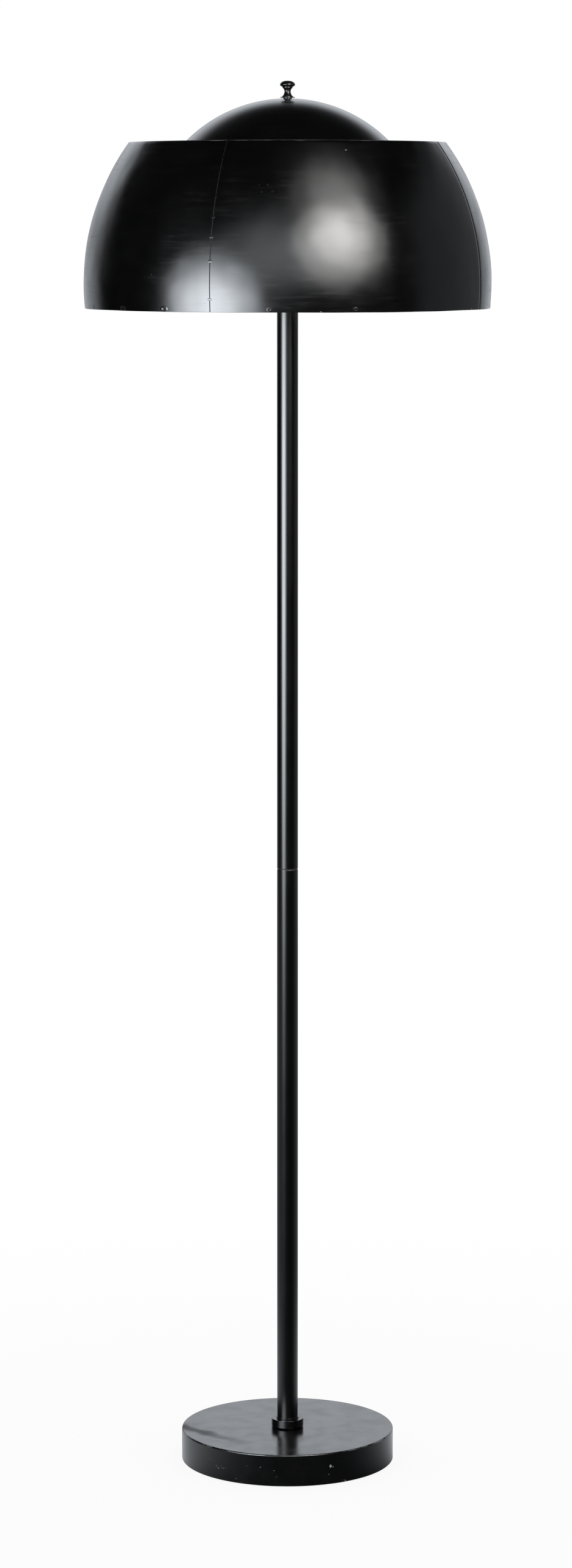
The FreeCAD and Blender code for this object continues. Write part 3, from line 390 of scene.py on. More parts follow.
# A chip knocked out of the paint at one place, with a ragged edge.
group, given, result = new_group(
    "paint chip", [("Place", "Vector", (0.0, 0.0, 0.0)), ("Radius", "Float", 0.001)], ["Mask"])
spot = place(group, "TexCoord").outputs["Object"]
gap = measure(group, "DISTANCE", spot, given["Place"])
ragged = noisy(group, spot, 1 / 900, 3.0)
edge = times(group, given["Radius"], ease(group, ragged, 0.25, 0.75, 0.35, 1.45))
group.links.new(reckon(group, "LESS_THAN", gap, edge), result["Mask"])
paint_chip = group

# Paint worn thin and lightened along a round edge about the lamp's axis, at a radius and a height: part
# wear, part a painted highlight along the edge.
group, given, result = new_group(
    "worn and highlit edge",
    [("Radius", "Float", 0.1), ("Height", "Float", 0.0), ("Reach", "Float", 0.001)], ["Mask"])
spot = place(group, "TexCoord").outputs["Object"]
x, y, z = place(group, "SeparateXYZ", {0: spot}).outputs
radius = measure(group, "LENGTH", place(group, "CombineXYZ", {0: x, 1: y}).outputs[0])
off = place(group, "CombineXYZ", {0: reckon(group, "SUBTRACT", radius, given["Radius"]),
                                  1: reckon(group, "SUBTRACT", z, given["Height"])}).outputs[0]
rubbed = noisy(group, spot, 1 / 26, 6.0, 0.7)
reach = times(group, given["Reach"], ease(group, rubbed, 0.38, 0.72, 0.0, 1.3))
away = reckon(group, "DIVIDE", measure(group, "LENGTH", off), plus(group, reach, 0.000001))
group.links.new(ease(group, away, 1.0, 0.6), result["Mask"])
worn_and_highlit_edge = group

# Dust that has settled on what faces up.
group, given, result = new_group("dust", [("Amount", "Float", 0.1)], ["Mask"])
spot = place(group, "TexCoord").outputs["Object"]
up = place(group, "SeparateXYZ", {0: place(group, "NewGeometry").outputs["Normal"]}).outputs[2]
drift = noisy(group, spot, 1 / 18, 8.0, 0.7)
lint = noisy(group, spot, 1 / 900, 4.0)
settled = times(group, ease(group, up, 0.2, 1.0), ease(group, drift, 0.35, 0.75))
settled = times(group, settled, ease(group, lint, 0.4, 0.7, 0.3, 1.0))
group.links.new(times(group, settled, given["Amount"]), result["Mask"])
dust = group

BLACK = (0.0006, 0.0006, 0.0007, 1.0)
WORN_BLACK = (0.0009, 0.0009, 0.0010, 1.0)
DUST_COLOUR = (0.19, 0.185, 0.175, 1.0)
CHIP_COLOUR = (0.36, 0.37, 0.36, 1.0)
CHIP_DEPTH = 0.00008
CHIP_DULL = 0.6
WORN_STEEL_AND_HIGHLIGHT = (0.11, 0.11, 0.112, 1.0)
WORN_GLOSS = 0.24
GLOSS_VARIES = 0.015
PAINT_IOR = 1.6


def black_paint(name, roughness, cloud_size, peel=0.00001, dusty=0.05, chips=(), edges=(), marks=None):
    """Satin black enamel. A chip is (place, radius, how bare), an edge worn thin and lightened (radius,
    height, reach), and marks adds a piece's own roughness. The lightened edge is part wear and part a
    painted highlight."""
    material, tree, spot = new_finish(name)
    surface = place(tree, "Group", {"Cloud Size": cloud_size}, node_tree=sprayed_paint).outputs
    colour = blend_colour(tree, ease(tree, surface["Cloud"], 0.35, 0.7), BLACK, WORN_BLACK)
    dulled = ease(tree, surface["Cloud"], 0.3, 0.75, roughness - GLOSS_VARIES, roughness + GLOSS_VARIES)
    if marks is not None:
        dulled = plus(tree, dulled, marks(tree, spot))
    film = place(tree, "Group", {"Amount": dusty}, node_tree=dust).outputs["Mask"]
    colour = blend_colour(tree, film, colour, DUST_COLOUR)
    height = times(tree, surface["Height"], peel)
    # Each edge is lightened towards worn steel: part real wear, part a painted highlight along the
    # edge.
    for radius, level, reach in edges:
        worn_and_lit = place(tree, "Group", {"Radius": radius, "Height": level, "Reach": reach},
                     node_tree=worn_and_highlit_edge).outputs["Mask"]
        colour = blend_colour(tree, worn_and_lit, colour, WORN_STEEL_AND_HIGHLIGHT)
        dulled = between(tree, worn_and_lit, dulled, WORN_GLOSS)
    bare = None
    for chip_place, radius, bareness in chips:
        chip = place(tree, "Group", {"Place": chip_place, "Radius": radius},
                     node_tree=paint_chip).outputs["Mask"]
        chip = times(tree, chip, bareness)
        bare = chip if bare is None else reckon(tree, "MAXIMUM", bare, chip)
    if bare is not None:
        colour = blend_colour(tree, bare, colour, CHIP_COLOUR)
        height = reckon(tree, "SUBTRACT", height, times(tree, bare, CHIP_DEPTH))
        dulled = between(tree, bare, dulled, CHIP_DULL)
    coat(tree, colour, dulled, height, others={"IOR": PAINT_IOR})
    return material


def on_drum(radius, azimuth, height):
    """A place on an upright drum; azimuth 0 is its front and 90 its right."""
    angle = math.radians(azimuth)
    return (radius * math.sin(angle), -radius * math.cos(angle), height)


FOOT_RADIUS = 0.1277
FOOT_TOP = 0.0386
FOOT_WALL = 0.0015
FOOT_EDGE = 0.0018
FOOT_LIFT = 0.0008
FOOT_FLAT_OUTER = 0.119
FOOT_FLAT_INNER = 0.03
HEM_OUTSIDE = 0.0004
HEM_INSIDE = 0.0003
TUBE_HOLE = 0.0052
INLET_HOLE = 0.0056
INLET_HEIGHT = 0.0095
INLET_BAND = 0.008
# Chips on the wall: azimuth in degrees, height and size in metres, and how bare they are.
FOOT_CHIPS = ((23.6, 0.0226, 0.0015, 1.0), (25.0, 0.0216, 0.0007, 0.6), (-41.7, 0.0167, 0.0009, 0.2),
              (-40.1, 0.0150, 0.0011, 0.3), (-38.3, 0.0176, 0.0006, 0.25),
              (-37.0, 0.0157, 0.0009, 0.3), (-35.4, 0.0168, 0.0006, 0.2),
              (-22.3, 0.0234, 0.0006, 0.2), (-14.7, 0.0235, 0.0007, 0.5),
              (-7.1, 0.0200, 0.0006, 0.4), (-5.9, 0.0122, 0.0005, 0.25),
              (22.6, 0.0129, 0.0007, 0.25), (32.6, 0.0026, 0.0008, 0.4),
              (30.8, 0.0034, 0.0005, 0.3), (-28.5, 0.0060, 0.0006, 0.3),
              (-46.0, 0.0230, 0.0006, 0.3), (118.0, 0.0060, 0.0011, 0.5),
              (163.0, 0.0310, 0.0008, 0.4), (-133.0, 0.0121, 0.0012, 0.6),
              (-98.0, 0.0250, 0.0007, 0.3))
FOOT_SPECK = ((0.0569, -0.0016, FOOT_TOP), 0.0006, 0.7)
RUB_START = (-0.125, -0.002, FOOT_TOP)
RUB_STOP = (-0.030, -0.099, FOOT_TOP)
RUB_HALF_WIDTH = 0.012
RUB_WANDER = 0.004
RUB_DULL = 0.26


def foot_marks(tree, spot):
    """A long rub across the top of the foot, and scuffs low on the wall."""
    start = Vector(RUB_START)
    along = (Vector(RUB_STOP) - start).normalized()
    across = Vector((along.y, -along.x, 0.0))
    offset = place(tree, "VectorMath", {0: spot, 1: start}, operation="SUBTRACT").outputs[0]
    reach = measure(tree, "DOT_PRODUCT", offset, along)
    wander = ease(tree, noisy(tree, spot, 0.03), 0.2, 0.8, -RUB_WANDER, RUB_WANDER)
    away = plus(tree, measure(tree, "DOT_PRODUCT", offset, across), wander)
    streak = times(tree, ease(tree, reckon(tree, "ABSOLUTE", away), RUB_HALF_WIDTH, 0.0005),
                   ease(tree, reach, 0.125, 0.02))
    scuffs = ease(tree, noisy(tree, spot, 0.006, 6.0, 0.7), 0.6, 0.75, 0.0, 0.16)
    mottle = ease(tree, noisy(tree, spot, 0.022, 4.0, 0.55), 0.3, 0.75, -0.02, 0.06)
    low = ease(tree, place(tree, "SeparateXYZ", {0: spot}).outputs[2], 0.036, 0.01)
    wear = plus(tree, mottle, times(tree, scuffs, low))
    return plus(tree, times(tree, streak, RUB_DULL), wear)


foot_chips = [(on_drum(FOOT_RADIUS, azimuth, height), size, bareness)
              for azimuth, height, size, bareness in FOOT_CHIPS]
# The top and lower edges are lightened: worn paint, and a painted highlight along them.
foot_edges = [(FOOT_RADIUS - 0.0004, FOOT_TOP - 0.0004, 0.0013), (FOOT_RADIUS, FOOT_LIFT, 0.0007)]
foot_paint = black_paint("foot_paint", roughness=0.2, cloud_size=0.04, peel=0.000005, dusty=0.04,
                         chips=foot_chips + [FOOT_SPECK], edges=foot_edges, marks=foot_marks)
wall_inside = FOOT_RADIUS - FOOT_WALL
edge_centre = (FOOT_RADIUS - FOOT_EDGE, FOOT_TOP - FOOT_EDGE)
points, faces = spin(
    [(wall_inside, FOOT_LIFT + HEM_INSIDE), (wall_inside + HEM_INSIDE, FOOT_LIFT),
     (FOOT_RADIUS - HEM_OUTSIDE, FOOT_LIFT), (FOOT_RADIUS, FOOT_LIFT + HEM_OUTSIDE),
     (FOOT_RADIUS, INLET_HEIGHT - INLET_BAND), (FOOT_RADIUS, INLET_HEIGHT + INLET_BAND)]
    + rounded_top(FOOT_RADIUS, FOOT_TOP, FOOT_EDGE, 8)
    + [(FOOT_FLAT_OUTER, FOOT_TOP), (FOOT_FLAT_INNER, FOOT_TOP), (TUBE_HOLE, FOOT_TOP),
       (TUBE_HOLE, FOOT_TOP - FOOT_WALL), (FOOT_FLAT_OUTER, FOOT_TOP - FOOT_WALL)]
    + bend(edge_centre, FOOT_EDGE - FOOT_WALL, 90.0, 0.0, 2)
    + [(wall_inside, INLET_HEIGHT + INLET_BAND), (wall_inside, INLET_HEIGHT - INLET_BAND)], 180)
foot_cover = mesh_piece("foot_cover_drawn", points, faces, foot_paint, "stand",
                        "foot_cover")
drill = bmesh.new()
bmesh.ops.create_cone(drill, cap_ends=True, segments=40, radius1=INLET_HOLE, radius2=INLET_HOLE,
                      depth=0.02, matrix=Matrix.Translation((0.0, FOOT_RADIUS, INLET_HEIGHT))
                      @ Matrix.Rotation(math.radians(90.0), 4, "X"))
drill_mesh = bpy.data.meshes.new("drill")
drill.to_mesh(drill_mesh)
drill.free()
drill_bit = put("drill", drill_mesh)
hole = foot_cover.modifiers.new("inlet hole", "BOOLEAN")
hole.operation = "DIFFERENCE"
hole.object = drill_bit
bpy.context.view_layer.update()
drilled = bpy.data.meshes.new_from_object(
    foot_cover.evaluated_get(bpy.context.evaluated_depsgraph_get()))
foot_cover.modifiers.clear()
foot_cover.data = drilled
drilled.set_sharp_from_angle(angle=math.radians(35.0))
bpy.data.objects.remove(drill_bit)

# ---- Cord inlet ----
# A flanged bushing of black rubber in the back wall of the foot, pushed in from outside. Rubber
# of this age is dull, with a pale bloom in patches.

RUBBER_BLACK = (0.012, 0.012, 0.012, 1.0)
RUBBER_BLOOM = (0.04, 0.039, 0.037, 1.0)
rubber, tree, spot = new_finish("rubber")
bloom = noisy(tree, spot, 0.003, 5.0, 0.6)
tone = blend_colour(tree, ease(tree, bloom, 0.4, 0.8), RUBBER_BLACK, RUBBER_BLOOM)
coat(tree, tone, ease(tree, bloom, 0.3, 0.7, 0.55, 0.8), noisy(tree, spot, 0.0008, 4.0), 0.0002)
finish_nodes(rubber, "cord_inlet")

# ---- Threaded tubes, nuts and washers ----
# Lamp tube with a 1 mm thread cut from end to end, hexagon nuts and stamped washers, all of
# zinc-plated steel. One of each pulls foot, collar and pole together.

# The ridges of a screw thread, from the place along its axis and the two places across it.
group, given, result = new_group(
    "screw thread",
    [("Along", "Float", 0.0), ("Across", "Float", 0.0), ("Beside", "Float", 0.0),
     ("Pitch", "Float", 0.001)], ["Height"])
turn = reckon(group, "DIVIDE", reckon(group, "ARCTAN2", given["Beside"], given["Across"]), math.tau)
wind = plus(group, reckon(group, "DIVIDE", given["Along"], given["Pitch"]), turn)
saw = reckon(group, "ABSOLUTE", reckon(group, "SUBTRACT", reckon(group, "FRACT", wind), 0.5))
group.links.new(times(group, saw, given["Pitch"]), result["Height"])
screw_thread = group

ZINC_BRIGHT = (0.60, 0.61, 0.60, 1.0)
ZINC_DULL = (0.38, 0.38, 0.36, 1.0)
TUBE_PITCH = 0.001


def zinc(name, thread_axis=None, beside_level=0.0):
    """Zinc plate with its spangle and dull patches, and a thread along X or Z if it has one."""
    material, tree, spot = new_finish(name)
    spangle = place(tree, "TexVoronoi", {"Vector": spot, "Scale": 420.0}).outputs["Color"]
    level = place(tree, "SeparateColor", {0: spangle}).outputs[0]
    dull = ease(tree, noisy(tree, spot, 0.006, 5.0, 0.65), 0.42, 0.68)
    colour = blend_colour(tree, dull, ZINC_BRIGHT, ZINC_DULL)
    colour = blend_colour(tree, times(tree, level, 0.25), colour, ZINC_DULL)
    height = times(tree, noisy(tree, spot, 0.0005, 3.0), 0.00002)
    if thread_axis is not None:
        x, y, z = place(tree, "SeparateXYZ", {0: spot}).outputs
        lifted = reckon(tree, "SUBTRACT", z, beside_level)
        along, across, beside = (x, y, lifted) if thread_axis == "X" else (z, x, y)
        ridges = place(tree, "Group", {"Along": along, "Across": across, "Beside": beside,
                                       "Pitch": TUBE_PITCH}, node_tree=screw_thread)
        height = plus(tree, height, ridges.outputs["Height"])
    coat(tree, colour, ease(tree, dull, 0.0, 1.0, 0.27, 0.5), height, others={"Metallic": 1.0})
    return material


zinc_plate = zinc("zinc_plate")
zinc_thread = zinc("zinc_thread", "Z")
finish_nodes(zinc_thread, "foot_nipple", "joint_nipple", "holder_nipple")
finish_nodes(zinc_plate, "foot_washer", "foot_nut")

# ---- Collar ----
# A turned steel cup that the pole stands in, sprayed with the rest. Its thin lip hugs the tube, and the
# paint is worn thin along its edges, lightened there as wear and as a painted highlight.

COLLAR_RADIUS = 0.0193
COLLAR_TOP = 0.0493
COLLAR_ROUNDING = 0.0005
COLLAR_BORE = 0.0126
LIP_RADIUS = 0.0134
LIP_TOP = 0.0512
LIP_ROUNDING = 0.0003
LIP_FILLET = 0.0004
POLE_FOOT = 0.0426
collar_paint = black_paint("collar_paint", roughness=0.23, cloud_size=0.02, peel=0.000003, dusty=0.03,
                           edges=[(COLLAR_RADIUS, COLLAR_TOP, 0.0006),
                                  (COLLAR_RADIUS - 0.0008, FOOT_TOP + 0.0012, 0.0008),
                                  (LIP_RADIUS, LIP_TOP, 0.0005)])
points, faces = spin(
    [(TUBE_HOLE, FOOT_TOP), (COLLAR_RADIUS - 0.0016, FOOT_TOP),
     (COLLAR_RADIUS - 0.0006, FOOT_TOP + 0.0008), (COLLAR_RADIUS, FOOT_TOP + 0.0018)]
    + rounded_top(COLLAR_RADIUS, COLLAR_TOP, COLLAR_ROUNDING, 4)
    + [(LIP_RADIUS + LIP_FILLET, COLLAR_TOP), (LIP_RADIUS, COLLAR_TOP + LIP_FILLET)]
    + rounded_top(LIP_RADIUS, LIP_TOP, LIP_ROUNDING, 3)
    + [(COLLAR_BORE, LIP_TOP), (COLLAR_BORE, POLE_FOOT), (TUBE_HOLE, POLE_FOOT)], 96)
mesh_piece("pole_collar_turned", points, faces, collar_paint, "stand", "pole_collar")

# ---- Pole ----
# Two lengths of 25 mm steel tube, satin black. The ends that meet are rounded over, so that a fine
# groove runs round the joint, and bushes with a thread inside are brazed into all four ends.

POLE_RADIUS = 0.0125
POLE_BORE = 0.0113
JOINT_LOW = 0.7222
JOINT_HIGH = 0.7231
POLE_TOP = 1.4250
POLE_ROUNDING = 0.0005
POLE_ROWS = 8
JOINT_EDGE_REACH = 0.0008
# The lightened edges at the joint are worn paint and a painted highlight on the rounded tube ends.
pole_paint = black_paint("pole_paint", roughness=0.23, cloud_size=0.06, peel=0.000002, dusty=0.02,
                         edges=[(POLE_RADIUS, JOINT_LOW, JOINT_EDGE_REACH),
                                (POLE_RADIUS, JOINT_HIGH, JOINT_EDGE_REACH)])


def tube(name, low, high, replaced):
    points, faces = spin(
        [(POLE_BORE, low)]
        + bend((POLE_RADIUS - POLE_ROUNDING, low + POLE_ROUNDING), POLE_ROUNDING, -90.0, 0.0, 3)
        + [(POLE_RADIUS, low + (high - low) * step / POLE_ROWS) for step in range(1, POLE_ROWS)]
        + rounded_top(POLE_RADIUS, high, POLE_ROUNDING, 3) + [(POLE_BORE, high)], 96)
    mesh_piece(name, points, faces, pole_paint, "stand", replaced)


tube("lower_pole_tube", POLE_FOOT, JOINT_LOW, "lower_pole")
tube("upper_pole_tube", JOINT_HIGH, POLE_TOP, "upper_pole")
finish_nodes(black_paint("joint_paint", roughness=0.45, cloud_size=0.02), "joint_bush_lower")
finish_nodes(zinc_plate, "pole_foot_bush", "joint_bush_upper", "pole_top_bush")

# ---- Lampholder body ----
# A drawn steel cup on top of the pole with a lid pressed into it, both sprayed black. Two threaded
# tubes leave it sideways for the sockets, and the shade's post stands in the lid.

HOLDER_RADIUS = 0.022
LID_LOW = 1.4660
LID_TOP = 1.4675
LID_RIM_INSIDE = 0.01945
LID_RIM_OUTSIDE = 0.02065
LID_RIM_DEPTH = 0.005
LID_BREAK = 0.0003
LID_ROUNDING = 0.0007
holder_paint = black_paint("holder_paint", roughness=0.36, cloud_size=0.03)
finish_nodes(holder_paint, "holder_body")
points, faces = spin(
    [(TUBE_HOLE, LID_LOW), (LID_RIM_INSIDE, LID_LOW), (LID_RIM_INSIDE, LID_LOW - LID_RIM_DEPTH),
     (LID_RIM_OUTSIDE, LID_LOW - LID_RIM_DEPTH), (LID_RIM_OUTSIDE, LID_LOW),
     (HOLDER_RADIUS - LID_BREAK, LID_LOW), (HOLDER_RADIUS, LID_LOW + LID_BREAK)]
    + rounded_top(HOLDER_RADIUS, LID_TOP, LID_ROUNDING, 4) + [(TUBE_HOLE, LID_TOP)], 72)
mesh_piece("holder_lid_pressed", points, faces, holder_paint, "stand", "holder_lid")
finish_nodes(zinc_plate, "holder_nut")

# ---- Sockets ----
# On each side a spun brass cap holds a brass shell with two beads pressed round it. In it sits
# a porcelain core with a screw shell of thin rolled brass and a spring contact.

SOCKET_HEIGHT = 1.447
SIDES = (("right", 1), ("left", -1))


def lay(points, side):
    """Turn points from upright onto the sockets' axis, outwards to one side of the lamp."""
    turn = Matrix.Translation((0.0, 0.0, SOCKET_HEIGHT)) @ Matrix.Rotation(
        math.radians(90.0 * side), 4, "Y")
    return [turn @ Vector(point) for point in points]


BRASS_CLEAN = (0.74, 0.53, 0.24, 1.0)
BRASS_TARNISHED = (0.42, 0.27, 0.12, 1.0)
brass, tree, spot = new_finish("spun_brass")
stretched = place(tree, "VectorMath", {0: spot, 1: (12.0, 1.0, 1.0)}, operation="MULTIPLY").outputs[0]
lines = noisy(tree, stretched, 1 / 260, 3.0)
tarnish = ease(tree, noisy(tree, spot, 0.014, 6.0, 0.65), 0.42, 0.7)
coat(tree, blend_colour(tree, tarnish, BRASS_CLEAN, BRASS_TARNISHED),
     ease(tree, tarnish, 0.0, 1.0, 0.24, 0.48), times(tree, lines, 0.000005), others={"Metallic": 1.0})

PORCELAIN_GREY = (0.72, 0.70, 0.64, 1.0)
PORCELAIN_CREAM = (0.82, 0.80, 0.75, 1.0)
porcelain, tree, spot = new_finish("porcelain")
glaze = noisy(tree, spot, 0.01, 3.0)
coat(tree, blend_colour(tree, glaze, PORCELAIN_GREY, PORCELAIN_CREAM),
     ease(tree, glaze, 0.3, 0.7, 0.12, 0.22), glaze, 0.0002,
     {"Coat Weight": 0.4, "Coat Roughness": 0.08})

SCREW_PITCH = 0.0254 / 7
PITCH_ROWS = 8
SCREW_STEPS = 64


def rolled_thread(radius, depth, start, stop):
    """Rows of a rolled thread, wound right-handed about the upright axis, from start to stop."""
    count = round((stop - start) / SCREW_PITCH * PITCH_ROWS)
    rows = []
    for row in range(count + 1):
        height = start + (stop - start) * row / count
        fade = min(1.0, row / PITCH_ROWS, (count - row) / PITCH_ROWS)
        ring = []
        for step in range(SCREW_STEPS):
            angle = math.tau * step / SCREW_STEPS
            wave = math.cos(math.tau * height / SCREW_PITCH - angle)
            out = radius - depth * fade * (0.5 - 0.5 * wave)
            ring.append((out * math.cos(angle), out * math.sin(angle), height))
        rows.append(ring)
    return rows


def skin_rows(rows, closed):
    """Join rows of points, each all the way round, with faces."""
    points = [point for row in rows for point in row]
    steps = len(rows[0])
    faces = []
    for row in range(len(rows) if closed else len(rows) - 1):
        low = row * steps
        high = (row + 1) % len(rows) * steps
        for step in range(steps):
            turn = (step + 1) % steps
            faces.append((low + step, low + turn, high + turn, high + step))
    return points, faces


CAP_START = 0.0224
CAP_END = 0.0380
SHELL_START = 0.0335
SHELL_END = 0.0785
SHELL_RADIUS = 0.0161
SHELL_INSIDE = 0.0153
SHELL_HEM = 0.0004
# The two beads of the shell: where each starts, its length, how far it stands out, and its steps.
ROOT_BEAD = (0.0425, 0.0020, 0.0004, 6)
MOUTH_BEAD = (0.0715, 0.0028, 0.0005, 8)
SCREW_START = 0.0470
SCREW_END = 0.0730
SCREW_RADIUS = 0.0141
SCREW_INSIDE = 0.0137
SCREW_DEPTH = 0.0002


def bead(start, length, lift, steps):
    """A bead pressed out of the shell's wall."""
    return [(SHELL_RADIUS + lift * math.sin(math.pi * step / steps), start + length * step / steps)
            for step in range(steps + 1)]


for side_name, side in SIDES:
    points, faces = spin(
        [(TUBE_HOLE, CAP_START), (0.0072, CAP_START)]
        + bend((0.0070, CAP_START + 0.0024), 0.0024, -75.0, -40.0, 3)
        + [(0.0146, CAP_START + 0.0066)]
        + bend((0.0144, CAP_START + 0.0086), 0.0028, -40.0, 0.0, 4)
        + [(0.0172, CAP_END - 0.0003), (0.0169, CAP_END), (0.0164, CAP_END),
           (0.0164, CAP_START + 0.0084), (0.0080, CAP_START + 0.0010),
           (TUBE_HOLE, CAP_START + 0.0008)], 72)
    mesh_piece("socket_cap_spun_" + side_name, lay(points, side), faces, brass, "stand",
               "socket_cap_" + side_name)
    points, faces = spin(
        [(SHELL_INSIDE, SHELL_START), (SHELL_RADIUS, SHELL_START)]
        + bead(*ROOT_BEAD) + bead(*MOUTH_BEAD)
        + bend((SHELL_RADIUS - SHELL_HEM, SHELL_END - SHELL_HEM), SHELL_HEM, 0.0, 180.0, 6)
        + [(SHELL_INSIDE, 0.0600)], 96)
    mesh_piece("socket_shell_beaded_" + side_name, lay(points, side), faces, brass, "stand",
               "socket_shell_" + side_name)
    outer = rolled_thread(SCREW_RADIUS, SCREW_DEPTH, SCREW_START, SCREW_END)
    inner = rolled_thread(SCREW_INSIDE, SCREW_DEPTH, SCREW_START, SCREW_END)
    points, faces = skin_rows(outer + inner[::-1], True)
    mesh_piece("screw_shell_rolled_" + side_name, lay(points, side), faces, brass, "stand",
               "screw_shell_" + side_name, 60.0)
    finish_nodes(porcelain, "socket_core_" + side_name)
    finish_nodes(brass, "socket_contact_" + side_name)
    finish_nodes(zinc_plate, "socket_nut_" + side_name)
finish_nodes(zinc("zinc_side_thread", "X", SOCKET_HEIGHT), "socket_nipple_right", "socket_nipple_left")

# ---- Switch knobs ----
# A key moulded in black phenolic on the shaft of each socket's switch, hanging under it: a round
# root that flattens into a blade for finger and thumb.

PHENOLIC_DARK = (0.012, 0.009, 0.007, 1.0)
PHENOLIC_BROWN = (0.03, 0.02, 0.014, 1.0)
phenolic, tree, spot = new_finish("black_phenolic")
swirl = noisy(tree, spot, 0.005, 5.0, 0.6)
coat(tree, blend_colour(tree, ease(tree, swirl, 0.45, 0.7), PHENOLIC_DARK, PHENOLIC_BROWN),
     ease(tree, swirl, 0.3, 0.7, 0.22, 0.36), noisy(tree, spot, 0.001, 3.0), 0.00006)

KNOB_PLACE = 0.0410
# Sections of the key from shaft to tip: height, half width along X, half thickness along Y, and
# how square its ends are.
KEY_SECTIONS = ((0.0050, 0.0020, 0.0020, 2.0), (-0.0213, 0.0020, 0.0020, 2.0),
                (-0.0215, 0.0042, 0.0042, 2.0), (-0.0219, 0.0046, 0.0046, 2.0),
                (-0.0238, 0.0046, 0.0045, 2.0), (-0.0250, 0.0052, 0.0038, 2.2),
                (-0.0262, 0.0061, 0.0027, 2.6), (-0.0276, 0.0065, 0.0018, 3.2),
                (-0.0312, 0.0065, 0.0016, 3.6), (-0.0321, 0.0062, 0.0014, 3.6),
                (-0.0325, 0.0054, 0.0008, 3.0))
KEY_STEPS = 40
for side_name, side in SIDES:
    rows = []
    for height, half_width, half_thickness, squareness in KEY_SECTIONS[::-1]:
        ring = []
        for step in range(KEY_STEPS):
            angle = math.tau * step / KEY_STEPS
            across = abs(math.cos(angle)) ** (2.0 / squareness) * half_width
            beside = abs(math.sin(angle)) ** (2.0 / squareness) * half_thickness
            ring.append((KNOB_PLACE * side + math.copysign(across, math.cos(angle)),
                         math.copysign(beside, math.sin(angle)), SOCKET_HEIGHT + height))
        rows.append(ring)
    points, faces = skin_rows(rows, False)
    faces.append(tuple(range(KEY_STEPS))[::-1])
    faces.append(tuple(range(len(points) - KEY_STEPS, len(points))))
    mesh_piece("switch_key_" + side_name, points, faces, phenolic, "switch_" + side_name,
               "switch_knob_" + side_name)

# ---- Bulbs ----
# Two round opal bulbs: blown glass, cemented into a screw cap of pressed aluminium with a button
# of solder at its end.

OPAL_GREY = (0.78, 0.78, 0.75, 1.0)
OPAL_WHITE = (0.86, 0.86, 0.84, 1.0)
opal, tree, spot = new_finish("opal_glass")
milk = noisy(tree, spot, 0.02, 3.0)
coat(tree, blend_colour(tree, milk, OPAL_GREY, OPAL_WHITE), ease(tree, milk, 0.3, 0.7, 0.2, 0.28),
     noisy(tree, spot, 0.012, 2.0), 0.0001,
     {"Transmission Weight": 0.12, "IOR": 1.5, "Coat Weight": 0.5, "Coat Roughness": 0.08})

ALUMINIUM_CLEAN = (0.78, 0.78, 0.77, 1.0)
ALUMINIUM_SCUFFED = (0.52, 0.52, 0.51, 1.0)
aluminium, tree, spot = new_finish("pressed_aluminium")
scuffed = ease(tree, noisy(tree, spot, 0.004, 6.0, 0.7), 0.4, 0.7)
coat(tree, blend_colour(tree, scuffed, ALUMINIUM_CLEAN, ALUMINIUM_SCUFFED),
     ease(tree, scuffed, 0.0, 1.0, 0.25, 0.45), noisy(tree, spot, 0.0007, 3.0), 0.00004,
     {"Metallic": 1.0})

SOLDER_DULL = (0.42, 0.42, 0.41, 1.0)
SOLDER_BRIGHT = (0.62, 0.62, 0.6, 1.0)
solder, tree, spot = new_finish("solder")
pitted = noisy(tree, spot, 0.0009, 4.0)
coat(tree, blend_colour(tree, pitted, SOLDER_DULL, SOLDER_BRIGHT),
     ease(tree, pitted, 0.3, 0.7, 0.35, 0.55), pitted, 0.0001, {"Metallic": 1.0})

BUTTON_START = 0.0479
CAP_BUTTON = 0.0495
CAP_MOUTH = 0.0750
CAP_RADIUS = 0.0130
CAP_METAL = 0.0005
THREAD_START = 0.0530
THREAD_END = 0.0715
THREAD_DEPTH = 0.0007
NECK_RADIUS = 0.0136
GLOBE_RADIUS = 0.0300
GLOBE_CENTRE = 0.1280
GLOBE_START = -39.0
GLOBE_STEPS = 22
GLASS = 0.0008
FLARE_START = 0.083
FLARE_SHIFT = 0.0003
SOLDER_BUTTON = ((0.0, BUTTON_START), (0.0022, BUTTON_START + 0.0001),
                 (0.0038, BUTTON_START + 0.0005), (0.0044, BUTTON_START + 0.0010),
                 (0.0045, CAP_BUTTON), (0.0, CAP_BUTTON))
# The screw cap's end outside and inside, and the neck of the glass, as radius and place along.
CAP_END_OUTSIDE = ((0.0001, CAP_BUTTON), (0.0055, CAP_BUTTON), (0.0062, 0.0498), (0.0118, 0.0521))
CAP_END_INSIDE = ((0.0113, 0.0526), (0.0060, 0.0503), (0.0001, 0.0500))
CAP_EDGE = ((CAP_RADIUS, 0.0745), (CAP_RADIUS - 0.0001, CAP_MOUTH), (CAP_RADIUS - CAP_METAL, CAP_MOUTH))
NECK = [(NECK_RADIUS, CAP_MOUTH), (NECK_RADIUS, 0.0815), (NECK_RADIUS + 0.0003, 0.0843),
        (0.0150, 0.0890), (0.0172, 0.0946), (0.0200, 0.1011), (0.0222, 0.1066)]


def rings(outline):
    """A plain ring of points at each radius and place along of an outline."""
    angles = [math.tau * step / SCREW_STEPS for step in range(SCREW_STEPS)]
    return [[(radius * math.cos(angle), radius * math.sin(angle), height) for angle in angles]
            for radius, height in outline]


